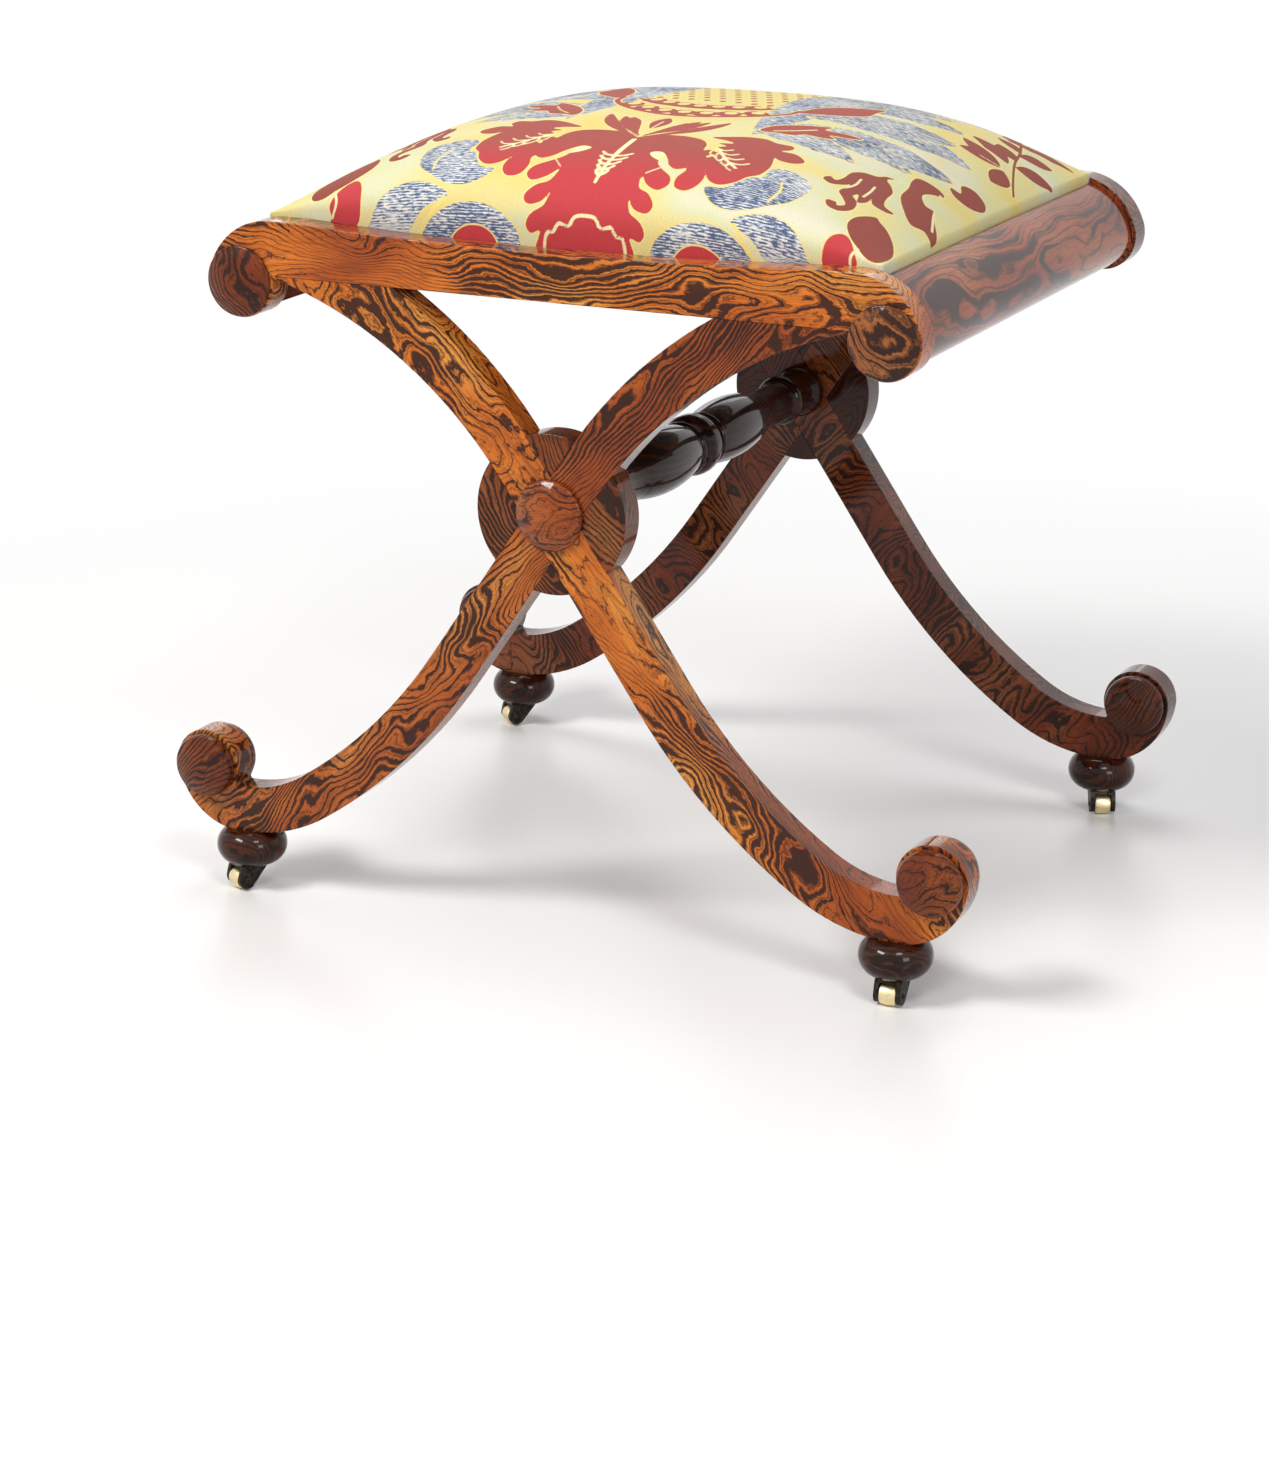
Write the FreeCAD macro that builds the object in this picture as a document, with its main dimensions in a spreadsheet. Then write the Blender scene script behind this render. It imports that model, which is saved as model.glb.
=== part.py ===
import FreeCAD, Part
import PartDesign
import Sketcher
import Spreadsheet
import math
import os
from types import SimpleNamespace

# X-frame stool on castors, with a drop-in seat, in millimetres.
# X runs along the front rail, the front looks towards -Y and Z is up.
# The origin is on the floor, under the middle of the seat.

SIZES = {
    # Rails and boards
    "board": 18.4,
    "frame_half_depth": 185.4,
    "rail_half_length": 218.0,
    "rail_depth": 26.4,
    "rail_rise": 4.6,
    "rail_end_flat": 16.4,
    "over_radius": 41.6,
    "under_radius": 20.9,
    "roll_angle": 17.6,
    "end_rail_depth": 30.5,
    "end_rail_inset": 2.6,
    "bead_inset": 1.2,
    "bead_width": 2.6,
    "tenon_width": 13.0,
    "tenon_height": 24.0,
    "tenon_length": 10.0,
    "arris": 0.7,
    # Legs
    "leg_width": 28.0,
    "leg_sweep": 11.85,
    "lap_height": 251.4,
    "arm_rise": 122.3,
    "arm_swell": 17.0,
    "arm_tip": 0.9,
    "arm_outer_straight": 30.0,
    "arm_inner_straight": 40.0,
    "calf_straight": 115.7,
    "foot_radius": 95.8,
    "foot_reach": 210.1,
    "foot_flat": 1.0,
    "head_reach": 20.4,
    "head_rise": 39.6,
    "head_radius": 21.0,
    "throat_radius": 1.4,
    "disc_radius": 45.9,
    "disc_rise": 3.5,
    "dowel_radius": 4.0,
    "dowel_up": 12.0,
    "dowel_down": 9.0,
    "dowel_first": 112.0,
    "dowel_pitch": 20.0,
    # Turned bosses
    "roundel_radius": 20.3,
    "roundel_rim": 2.4,
    "roundel_dome": 4.6,
    "centre_boss_radius": 20.5,
    "centre_boss_rim": 3.4,
    "centre_boss_dome": 6.0,
    "scroll_boss_radius": 19.1,
    "scroll_boss_rim": 6.4,
    "scroll_boss_dome": 4.2,
    "spigot_radius": 4.0,
    "spigot_length": 5.0,
    # Stretcher
    "stretcher_tenon_radius": 7.0,
    "stretcher_tenon_length": 12.0,
    "stretcher_ring_radius": 18.6,
    "stretcher_vase_radius": 18.9,
    "stretcher_neck_radius": 12.3,
    "stretcher_bead_radius": 15.6,
    "stretcher_collar_radius": 16.4,
    # Bun feet and castors
    "bun_radius": 21.0,
    "bun_height": 21.9,
    "bun_top_radius": 14.5,
    "bun_base_radius": 12.5,
    "bun_spigot_radius": 5.0,
    "bun_spigot_length": 13.0,
    "wheel_radius": 6.5,
    "wheel_width": 9.6,
    "wheel_crown": 0.5,
    "castor_height": 15.5,
    "castor_trail": 8.5,
    "castor_plate_radius": 11.0,
    "castor_plate_thickness": 1.2,
    "castor_gap": 0.1,
    "castor_bridge": 1.7,
    "cheek_thickness": 2.8,
    "cheek_radius": 5.4,
    "cheek_gap": 0.3,
    "pintle_radius": 2.5,
    "pintle_length": 18.0,
    "axle_radius": 1.5,
    "axle_head_radius": 2.1,
    "axle_head": 0.9,
    "plate_screw_radius": 0.9,
    "plate_screw_head": 1.6,
    "plate_screw_length": 7.0,
    "plate_screw_circle": 7.4,
    # Bearers and their screws
    "bearer_width": 14.0,
    "bearer_height": 9.1,
    "screw_radius": 1.8,
    "screw_head_radius": 3.6,
    "screw_head_height": 2.0,
    "screw_length": 26.0,
    # Drop-in seat
    "seat_gap": 0.6,
    "cover_thickness": 1.2,
    "cover_turn_under": 20.0,
    "slip_width": 45.0,
    "slip_thickness": 16.0,
    "web_width": 50.0,
    "web_thickness": 1.2,
    "web_overlap": 30.0,
    "cloth_thickness": 0.6,
    "crown_height": 57.4,
    "side_draw": 2.4,
    "dust_cloth_margin": 2.0,
    "tack_radius": 0.8,
    "tack_head_radius": 3.0,
    "tack_head_height": 1.0,
    "tack_length": 9.0,
    "tack_margin": 3.0,
    # Clearances
    "glue_gap": 0.05,
    "running_gap": 0.08,
}

# The way each castor points at rest, in degrees from +X
CASTOR_TURNS = {
    "front_left": -117.0,
    "front_right": -88.0,
    "rear_left": -130.0,
    "rear_right": -64.0,
}
SIDES = {"left": -1, "right": 1}
ENDS = {"front": -1, "rear": 1}

doc = FreeCAD.newDocument("x_frame_stool")
sheet = doc.addObject("Spreadsheet::Sheet", "Sizes")
for row, (alias, value) in enumerate(SIZES.items(), start=1):
    sheet.set(f"A{row}", alias)
    sheet.set(f"B{row}", str(value))
    sheet.setAlias(f"B{row}", alias)
doc.recompute()
size = SimpleNamespace(**{alias: float(sheet.get(alias)) for alias in SIZES})
nodes = []

# Levels and places that several pieces share
inner_face = size.frame_half_depth - size.board
leg_middle = size.frame_half_depth - size.board / 2
INNER_FACE = "Sizes.frame_half_depth - Sizes.board"
RAIL_UNDERSIDE = "Sizes.lap_height + Sizes.arm_rise"
half_leg = size.leg_width / 2
rail_underside = size.lap_height + size.arm_rise
rail_middle_top = rail_underside + size.rail_depth
rail_end_top = rail_middle_top + size.rail_rise
opening_half_length = size.rail_half_length - size.end_rail_depth
foot_flat_height = size.castor_height + size.bun_height
leg_lowest = foot_flat_height - size.foot_flat
disc_height = size.lap_height + size.disc_rise
bearer_top = rail_underside + size.bearer_height
slip_bottom = bearer_top + size.cover_thickness
slip_top = slip_bottom + size.slip_thickness
slip_half_length = opening_half_length - size.seat_gap - size.cover_thickness
slip_half_depth = inner_face - size.seat_gap - size.cover_thickness
crown_bottom = slip_top + 2 * size.web_thickness + size.cloth_thickness


def spot(across, up):
    """A point in a sketch."""
    return FreeCAD.Vector(across, up, 0)


def heading(degrees):
    """A step of one millimetre in a direction, counted from the sketch's first axis."""
    angle = math.radians(degrees)
    return spot(math.cos(angle), math.sin(angle))


def midway(centre, radius, start, end):
    """The middle of the shorter arc from start to end."""
    chord = (start + end) * 0.5 - centre
    return centre + chord * (radius / chord.Length)


def circles_meet(first, first_radius, second, second_radius):
    """The lower of the two points where two circles cross, the second to the right of the first."""
    apart = second - first
    along = (first_radius**2 - second_radius**2 + apart.dot(apart)) / (2 * apart.Length)
    aside = math.sqrt(first_radius**2 - along**2)
    ahead = apart.normalize()
    return first + ahead * along + spot(ahead.y, -ahead.x) * aside


def rail_scroll(inset):
    """Centres and radii of the two arcs round a rail's end, with the outline drawn in by inset."""
    over = spot(size.rail_half_length - size.over_radius, rail_end_top - size.over_radius)
    roundel = over + heading(size.roll_angle) * (size.over_radius - size.under_radius)
    return SimpleNamespace(
        over=over,
        over_radius=size.over_radius - inset,
        under=roundel,
        under_radius=size.under_radius - inset,
        touch=over + heading(size.roll_angle) * (size.over_radius - inset),
    )


ROUNDEL = rail_scroll(0).under
UNDER_START = spot(
    ROUNDEL.x - math.sqrt(size.under_radius**2 - (rail_underside - ROUNDEL.y) ** 2),
    rail_underside,
)


def tangent_arc(start, inward, end):
    """Centre and radius of the arc that leaves start at right angles to inward and reaches end."""
    reach = end - start
    radius = reach.dot(reach) / (2 * reach.dot(inward))
    return start + inward * radius, radius


def leg_curve():
    """Centres, radii and meeting points of the arcs along one leg, which falls from left to right."""
    lap = spot(0, size.lap_height)
    foot = spot(size.foot_reach, leg_lowest + half_leg + size.foot_radius)
    fall = math.degrees(math.atan2(lap.y - leg_lowest - half_leg, size.foot_reach))
    lean = fall + size.leg_sweep
    down = heading(-lean)
    out = heading(90 - lean)
    knee = lap + down * size.calf_straight
    gap = knee - foot
    calf_radius = (size.foot_radius**2 - gap.dot(gap)) / (2 * (gap.dot(out) + size.foot_radius))
    calf = knee + out * calf_radius
    outer_start = lap - down * size.arm_outer_straight - out * half_leg
    inner_start = lap - down * size.arm_inner_straight + out * half_leg
    outer_end = spot(-UNDER_START.x, rail_underside - size.arm_tip)
    outer_arm, outer_radius = tangent_arc(outer_start, out * -1, outer_end)
    inner_radius = outer_radius + size.arm_swell
    inner_arm = inner_start - out * inner_radius
    inner_end = spot(
        inner_arm.x + math.sqrt(inner_radius**2 - (rail_underside - inner_arm.y) ** 2),
        rail_underside,
    )
    return SimpleNamespace(
        lap=lap, lean=lean, out=out, knee=knee, calf=calf, calf_radius=calf_radius,
        foot=foot, ankle=(foot - calf).normalize(), outer_start=outer_start, inner_start=inner_start,
        outer_end=outer_end, inner_end=inner_end, outer_arm=outer_arm, outer_radius=outer_radius,
        inner_arm=inner_arm, inner_radius=inner_radius,
    )


def scroll_foot():
    """The arc that carries the leg's underside up into the scroll, and the scroll's own round head."""
    lowest = spot(size.foot_reach, leg_lowest)
    head = lowest + spot(size.head_reach, size.head_rise)
    rise = size.head_rise - size.head_radius
    radius = (size.head_reach**2 + size.head_rise**2 - size.head_radius**2) / (2 * rise)
    sweep = lowest + spot(0, radius)
    touch = head + (head - sweep).normalize() * size.head_radius
    return SimpleNamespace(head=head, sweep=sweep, sweep_radius=radius, touch=touch)


LEG = leg_curve()
SCROLL = scroll_foot()
FLAT_START = size.foot_reach - math.sqrt(
    (size.foot_radius + half_leg) ** 2 - (size.foot_radius + half_leg - size.foot_flat) ** 2
)
FLAT_END = size.foot_reach + math.sqrt(
    SCROLL.sweep_radius**2 - (SCROLL.sweep_radius - size.foot_flat) ** 2
)
BUN_X = (FLAT_START + FLAT_END) / 2


def keep(piece, label):
    """Names a piece and adds it to what is written out."""
    piece.Label = label
    nodes.append(piece)
    return piece


def new_body(name):
    return doc.addObject("PartDesign::Body", name)


def sketch_on(body, role, distance="0"):
    """A sketch on one of the body's own planes, moved along the plane's normal by an expression."""
    plane = [feature for feature in body.Origin.OriginFeatures if feature.Role == role][0]
    sketch = body.newObject("Sketcher::SketchObject", f"{body.Name}_sketch")
    sketch.AttachmentSupport = (plane, [""])
    sketch.MapMode = "FlatFace"
    sketch.setExpression("AttachmentOffset.Base.z", distance)
    return sketch


def draw(sketch, start, *moves):
    """A closed outline: a point draws a line to it, and a pair draws an arc by the first to the second."""
    here = start
    for move in moves + (start,):
        if isinstance(move, tuple):
            bow, end = move
            sketch.addGeometry(Part.Arc(here, bow, end), False)
        else:
            end = move
            if (end - here).Length > 1e-6:
                sketch.addGeometry(Part.LineSegment(here, end), False)
        here = end


def rectangle(sketch, left, right, low, high):
    draw(sketch, spot(left, low), spot(right, low), spot(right, high), spot(left, high))


def circle(sketch, centre, radius, alias):
    """A circle whose radius is bound to an expression."""
    edge = sketch.addGeometry(Part.Circle(centre, FreeCAD.Vector(0, 0, 1), radius), False)
    bound = sketch.addConstraint(Sketcher.Constraint("Radius", edge, radius))
    sketch.setExpression(f"Constraints[{bound}]", alias)


def pad(body, sketch, length, backwards=False, both_ways=False):
    feature = body.newObject("PartDesign::Pad", f"{body.Name}_pad")
    feature.Profile = sketch
    feature.setExpression("Length", length)
    feature.Reversed = backwards
    feature.Midplane = both_ways
    return feature


def pocket(body, sketch, depth, along_normal=False, both_ways=False):
    feature = body.newObject("PartDesign::Pocket", f"{body.Name}_pocket")
    feature.Profile = sketch
    feature.setExpression("Length", depth)
    feature.Reversed = along_normal
    feature.Midplane = both_ways
    return feature


def turned(name, start, *moves):
    """A body of revolution round Z, from an outline of radius and height."""
    body = new_body(name)
    sketch = sketch_on(body, "XZ_Plane")
    draw(sketch, start, *moves)
    feature = body.newObject("PartDesign::Revolution", f"{name}_turning")
    feature.Profile = sketch
    feature.ReferenceAxis = (sketch, ["V_Axis"])
    feature.Angle = 360
    return body


def dome(radius, base, rise):
    """The middle and the top of an arc that closes a turned piece of a radius with a round end."""
    sphere = (radius**2 + rise**2) / (2 * rise)
    half = math.asin(radius / sphere) / 2
    return spot(sphere * math.sin(half), base + rise - sphere * (1 - math.cos(half))), spot(0, base + rise)


def soften(body, picked, radius="Sizes.arris"):
    """Rounds the edges of the body's last feature that picked chooses."""
    doc.recompute()
    last = body.Tip
    edges = [f"Edge{n}" for n, edge in enumerate(last.Shape.Edges, start=1) if picked(edge)]
    feature = body.newObject("PartDesign::Fillet", f"{body.Name}_arris")
    feature.Base = (last, edges)
    feature.setExpression("Radius", radius)
    return feature


def on_board_face(edge):
    """Says whether an edge runs along the front or the back face of a board."""
    box = edge.BoundBox
    if edge.isClosed() or box.YLength > 1e-4:
        return False
    return abs(-box.YMin - size.frame_half_depth) < 1e-4 or abs(-box.YMin - inner_face) < 1e-4


def place(body, base, turn=None):
    body.Placement = FreeCAD.Placement(base, turn or FreeCAD.Rotation())
    return body


def about_z(degrees):
    return FreeCAD.Rotation(FreeCAD.Vector(0, 0, 1), degrees)


def to_end(end):
    """Leaves a piece drawn at the front where it is, or turns it half round to the rear."""
    return about_z(0 if end == "front" else 180)


def facing(side):
    """Turns a turned piece's axis to point out at the front (-1) or at the rear (+1)."""
    return FreeCAD.Rotation(FreeCAD.Vector(1, 0, 0), -90 * side)


def group(label, master, placements):
    """Separate copies of one small piece in one node."""
    doc.recompute()
    copies = []
    for placement in placements:
        copy = master.Shape.copy()
        copy.Placement = placement
        copies.append(copy)
    feature = doc.addObject("Part::Feature", label)
    feature.Shape = Part.makeCompound(copies)
    return keep(feature, label)


def dowel_spots(end):
    """The dowels between the arms and a side rail, in plan."""
    xs = [size.dowel_first, size.dowel_first + size.dowel_pitch]
    return [spot(side * x, end * leg_middle) for side in (-1, 1) for x in xs]


def screw_runs():
    """Distances along a long and a short bearer at which its screws stand."""
    long_run = size.dowel_first + 2 * size.dowel_pitch
    short_run = inner_face * 0.5
    return [-long_run, 0.0, long_run], [-short_run, short_run]


def side_rail(end):
    """A side rail: dished top, scrolled ends, and its mortises and bores."""
    body = new_body(f"{end}_rail")
    scroll = rail_scroll(0)

    def flip(point):
        return spot(-point.x, point.y)

    under_bow = scroll.under + heading(-75) * scroll.under_radius
    over_top = scroll.over + spot(0, scroll.over_radius)
    over_bow = midway(scroll.over, scroll.over_radius, scroll.touch, over_top)
    dish_end = spot(scroll.over.x - size.rail_end_flat, rail_end_top)
    sketch = sketch_on(body, "XZ_Plane", INNER_FACE)
    draw(
        sketch, flip(UNDER_START), UNDER_START, (under_bow, scroll.touch), (over_bow, over_top), dish_end,
        (spot(0, rail_middle_top), flip(dish_end)), flip(over_top), (flip(over_bow), flip(scroll.touch)),
        (flip(under_bow), flip(UNDER_START)),
    )
    pad(body, sketch, "Sizes.board")
    soften(body, on_board_face)

    mortises = sketch_on(body, "XZ_Plane", INNER_FACE)
    for side in (-1, 1):
        middle = side * scroll.under.x
        reach = size.tenon_width / 2 + size.glue_gap
        rise = size.tenon_height / 2 + size.glue_gap
        rectangle(mortises, middle - reach, middle + reach, scroll.under.y - rise, scroll.under.y + rise)
    pocket(body, mortises, "Sizes.tenon_length + Sizes.glue_gap", along_normal=True)

    bores = sketch_on(body, "XZ_Plane", "Sizes.frame_half_depth")
    for side in (-1, 1):
        circle(
            bores, spot(side * scroll.under.x, scroll.under.y), size.spigot_radius + size.glue_gap,
            "Sizes.spigot_radius + Sizes.glue_gap",
        )
    pocket(body, bores, "Sizes.spigot_length + Sizes.glue_gap")

    holes = sketch_on(body, "XY_Plane", RAIL_UNDERSIDE)
    for point in dowel_spots(-1):
        circle(holes, point, size.dowel_radius + size.glue_gap, "Sizes.dowel_radius + Sizes.glue_gap")
    pocket(body, holes, "Sizes.dowel_up + Sizes.glue_gap", along_normal=True)

    screws = sketch_on(body, "XZ_Plane", INNER_FACE)
    for x in screw_runs()[0]:
        circle(
            screws, spot(x, rail_underside + size.bearer_height / 2),
            size.screw_radius + size.glue_gap, "Sizes.screw_radius + Sizes.glue_gap",
        )
    pocket(body, screws, "Sizes.screw_length - Sizes.bearer_width + Sizes.glue_gap", along_normal=True)
    keep(place(body, FreeCAD.Vector(), to_end(end)), f"{end}_rail")


def end_rail_section(sketch, inset):
    """The rolled section of an end rail, flat on the side towards the seat."""
    scroll = rail_scroll(inset)
    low_side = opening_half_length - scroll.under.x
    low = scroll.under + spot(low_side, -math.sqrt(scroll.under_radius**2 - low_side**2))
    high_side = opening_half_length - scroll.over.x
    high = scroll.over + spot(high_side, math.sqrt(scroll.over_radius**2 - high_side**2))
    under_bow = midway(scroll.under, scroll.under_radius, low, scroll.touch)
    over_bow = midway(scroll.over, scroll.over_radius, scroll.touch, high)
    draw(sketch, low, (under_bow, scroll.touch), (over_bow, high))


def end_rail(side):
    """An end rail between the side rails, with a bead at each end and a tenon into each side rail."""
    body = new_body(f"{side}_end_rail")
    section = sketch_on(body, "XZ_Plane")
    end_rail_section(section, size.end_rail_inset)
    pad(body, section, f"2 * ({INNER_FACE})", both_ways=True)
    for sign in (1, -1):
        face = INNER_FACE if sign == 1 else f"-({INNER_FACE})"
        bead = sketch_on(body, "XZ_Plane", face)
        end_rail_section(bead, size.bead_inset)
        pad(body, bead, "Sizes.bead_width", backwards=sign == 1)
        tenon = sketch_on(body, "XZ_Plane", face)
        rectangle(
            tenon, ROUNDEL.x - size.tenon_width / 2, ROUNDEL.x + size.tenon_width / 2,
            ROUNDEL.y - size.tenon_height / 2, ROUNDEL.y + size.tenon_height / 2,
        )
        pad(body, tenon, "Sizes.tenon_length", backwards=sign == -1)
    screws = sketch_on(body, "YZ_Plane", "Sizes.rail_half_length - Sizes.end_rail_depth")
    for y in screw_runs()[1]:
        circle(
            screws, spot(y, rail_underside + size.bearer_height / 2),
            size.screw_radius + size.glue_gap, "Sizes.screw_radius + Sizes.glue_gap",
        )
    pocket(body, screws, "Sizes.screw_length - Sizes.bearer_width + Sizes.glue_gap", along_normal=True)
    keep(place(body, FreeCAD.Vector(), about_z(0 if side == "right" else 180)), f"{side}_end_rail")


def leg_outline(sketch, side):
    """One leg's outline, which falls from left to right, or from right to left with side -1."""

    def flip(point):
        return spot(side * point.x, point.y)

    outer_foot = size.foot_radius + half_leg
    inner_foot = size.foot_radius - half_leg
    low_flat = spot(FLAT_START, foot_flat_height)
    high_flat = spot(FLAT_END, foot_flat_height)
    outer_knee = LEG.knee - LEG.out * half_leg
    inner_knee = LEG.knee + LEG.out * half_leg
    outer_ankle = LEG.calf + LEG.ankle * (LEG.calf_radius + half_leg)
    inner_ankle = LEG.calf + LEG.ankle * (LEG.calf_radius - half_leg)
    throat_from_foot = inner_foot - size.throat_radius
    throat_from_head = size.head_radius + size.throat_radius
    throat = circles_meet(LEG.foot, throat_from_foot, SCROLL.head, throat_from_head)
    throat_foot = LEG.foot + (throat - LEG.foot).normalize() * inner_foot
    throat_head = SCROLL.head + (throat - SCROLL.head).normalize() * size.head_radius
    crest = SCROLL.head - (SCROLL.touch + throat_head - SCROLL.head * 2).normalize() * size.head_radius
    throat_bow = midway(throat, size.throat_radius, throat_head, throat_foot)
    moves = [
        outer_knee,
        (midway(LEG.calf, LEG.calf_radius + half_leg, outer_knee, outer_ankle), outer_ankle),
        (midway(LEG.foot, outer_foot, outer_ankle, low_flat), low_flat),
        high_flat,
        (midway(SCROLL.sweep, SCROLL.sweep_radius, high_flat, SCROLL.touch), SCROLL.touch),
        (crest, throat_head),
        (throat_bow, throat_foot),
        (midway(LEG.foot, inner_foot, throat_foot, inner_ankle), inner_ankle),
        (midway(LEG.calf, LEG.calf_radius - half_leg, inner_ankle, inner_knee), inner_knee),
        LEG.inner_start,
        (midway(LEG.inner_arm, LEG.inner_radius, LEG.inner_start, LEG.inner_end), LEG.inner_end),
        LEG.outer_end + spot(0, size.arm_tip),
        LEG.outer_end,
        (midway(LEG.outer_arm, LEG.outer_radius, LEG.outer_end, LEG.outer_start), LEG.outer_start),
    ]
    turned_moves = [tuple(map(flip, move)) if isinstance(move, tuple) else flip(move) for move in moves]
    draw(sketch, flip(LEG.outer_start), *turned_moves)


def lap_corners():
    """The four corners of the crossing: right, top, left and bottom."""
    wide = half_leg / math.sin(math.radians(LEG.lean))
    tall = half_leg / math.cos(math.radians(LEG.lean))
    return [LEG.lap + step for step in (spot(wide, 0), spot(0, tall), spot(-wide, 0), spot(0, -tall))]


def leg(end, kind):
    """One leg: the through leg is notched at its back, the lapped leg at its front."""
    through = kind == "through"
    side = 1 if through else -1
    body = new_body(f"{end}_{kind}_leg")
    sketch = sketch_on(body, "XZ_Plane", INNER_FACE)
    leg_outline(sketch, side)
    pad(body, sketch, "Sizes.board")

    def outer_arris(edge):
        box = edge.BoundBox
        rounded = box.ZMin < rail_underside - 2 * size.arm_tip and box.ZMax > foot_flat_height + size.arris
        return on_board_face(edge) and rounded

    soften(body, outer_arris)
    notch = sketch_on(body, "XZ_Plane", INNER_FACE if through else "Sizes.frame_half_depth")
    draw(notch, *lap_corners())
    pocket(body, notch, "Sizes.board / 2", along_normal=through)

    head = spot(side * SCROLL.head.x, SCROLL.head.y)
    centre = spot(0, disc_height)
    for face, inward in (("Sizes.frame_half_depth", False), (INNER_FACE, True)):
        bore = sketch_on(body, "XZ_Plane", face)
        circle(bore, head, size.spigot_radius, "Sizes.spigot_radius + Sizes.glue_gap")
        pocket(body, bore, "Sizes.spigot_length + Sizes.glue_gap", along_normal=inward)
    if through:
        eye = sketch_on(body, "XZ_Plane", "Sizes.frame_half_depth")
        circle(eye, centre, size.spigot_radius, "Sizes.spigot_radius + Sizes.glue_gap")
        pocket(body, eye, "Sizes.spigot_length + Sizes.glue_gap")
    mortise = sketch_on(body, "XZ_Plane", INNER_FACE)
    circle(mortise, centre, size.stretcher_tenon_radius, "Sizes.stretcher_tenon_radius + Sizes.glue_gap")
    pocket(body, mortise, "Sizes.stretcher_tenon_length + Sizes.glue_gap", along_normal=True)

    socket = sketch_on(body, "XY_Plane", f"{foot_flat_height}")
    circle(
        socket, spot(side * BUN_X, -leg_middle), size.bun_spigot_radius,
        "Sizes.bun_spigot_radius + Sizes.glue_gap",
    )
    pocket(body, socket, "Sizes.bun_spigot_length + Sizes.glue_gap", along_normal=True)

    holes = sketch_on(body, "XY_Plane", RAIL_UNDERSIDE)
    for point in dowel_spots(-1):
        if point.x * side < 0:
            circle(holes, point, size.dowel_radius, "Sizes.dowel_radius + Sizes.glue_gap")
    pocket(body, holes, "Sizes.dowel_down + Sizes.glue_gap")
    keep(place(body, FreeCAD.Vector(), to_end(end)), f"{end}_{kind}_leg")


def disc_segments(end):
    """Four pieces that fill the angles of the crossing out to a round disc."""
    body = new_body(f"{end}_disc_segments")
    body.AllowCompound = True
    disc = sketch_on(body, "XZ_Plane", INNER_FACE)
    circle(disc, spot(0, disc_height), size.disc_radius, "Sizes.disc_radius")
    pad(body, disc, "Sizes.board")
    soften(body, lambda edge: edge.isClosed())
    for side in (1, -1):
        room = sketch_on(body, "XZ_Plane", INNER_FACE)
        leg_outline(room, side)
        pocket(body, room, "Sizes.board", along_normal=True)
    keep(place(body, FreeCAD.Vector(), to_end(end)), f"{end}_disc_segments")


# How far a boss swells between its faces, as a share of its radius
BOSS_SWELL = 0.06


def boss(label, radius, rim, rise, base, side):
    """A turned boss: rounded rim, domed face and a spigot."""
    swell = radius * BOSS_SWELL
    edge = spot(radius - swell, rim)
    body = turned(
        label, spot(0, -size.spigot_length), spot(size.spigot_radius, -size.spigot_length),
        spot(size.spigot_radius, 0), spot(radius - swell / 2, 0), (spot(radius, rim / 2), edge),
        dome(edge.x, rim, rise),
    )
    keep(place(body, base, facing(side)), label)


def bosses():
    for end, out in ENDS.items():
        face = out * size.frame_half_depth
        boss(
            f"{end}_centre_boss", size.centre_boss_radius, size.centre_boss_rim, size.centre_boss_dome,
            FreeCAD.Vector(0, face, disc_height), out,
        )
        for side, across in SIDES.items():
            boss(
                f"{end}_{side}_roundel", size.roundel_radius, size.roundel_rim, size.roundel_dome,
                FreeCAD.Vector(across * ROUNDEL.x, face, ROUNDEL.y), out,
            )
            for place_name, y, way in (("outer", face, out), ("inner", out * inner_face, -out)):
                boss(
                    f"{end}_{side}_{place_name}_scroll_boss", size.scroll_boss_radius,
                    size.scroll_boss_rim, size.scroll_boss_dome,
                    FreeCAD.Vector(across * SCROLL.head.x, y, SCROLL.head.y), way,
                )


def stretcher():
    """The turned stretcher: a central ring between two vases, and a bead and a collar at each end."""
    ring = size.stretcher_ring_radius
    vase = size.stretcher_vase_radius
    neck = size.stretcher_neck_radius
    bead = size.stretcher_bead_radius
    collar = size.stretcher_collar_radius
    part = inner_face / 100
    body = turned(
        "stretcher", spot(0, 0), spot(ring, 0),
        (spot(ring * 0.97, 3 * part), spot(ring * 0.86, 5 * part)),
        spot(ring * 0.78, 5.4 * part), spot(ring * 0.78, 7.4 * part),
        (spot(ring * 0.9, 8.6 * part), spot(ring * 0.78, 9.8 * part)),
        spot(vase * 0.84, 10.4 * part),
        (spot(vase, 29 * part), spot(vase * 0.76, 51 * part)),
        (spot(neck * 1.02, 57.5 * part), spot(neck, 64 * part)),
        spot(neck, 76 * part), spot(bead * 0.84, 76.6 * part),
        (spot(bead, 79 * part), spot(bead * 0.84, 81.4 * part)),
        spot(neck, 82 * part), spot(neck, 93 * part), spot(collar * 0.86, 93.6 * part),
        (spot(collar, 96.4 * part), spot(collar * 0.9, inner_face)),
        spot(size.stretcher_tenon_radius, inner_face),
        spot(size.stretcher_tenon_radius, inner_face + size.stretcher_tenon_length),
        spot(0, inner_face + size.stretcher_tenon_length),
    )
    mirrored = body.newObject("PartDesign::Mirrored", "stretcher_other_half")
    turning = [feature for feature in body.Group if feature.TypeId == "PartDesign::Revolution"]
    plane = [feature for feature in body.Origin.OriginFeatures if feature.Role == "XY_Plane"][0]
    mirrored.Originals = turning
    mirrored.MirrorPlane = (plane, [""])
    body.Tip = mirrored
    turn = FreeCAD.Rotation(FreeCAD.Vector(1, 0, 0), 90)
    keep(place(body, FreeCAD.Vector(0, 0, disc_height), turn), "stretcher")


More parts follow.
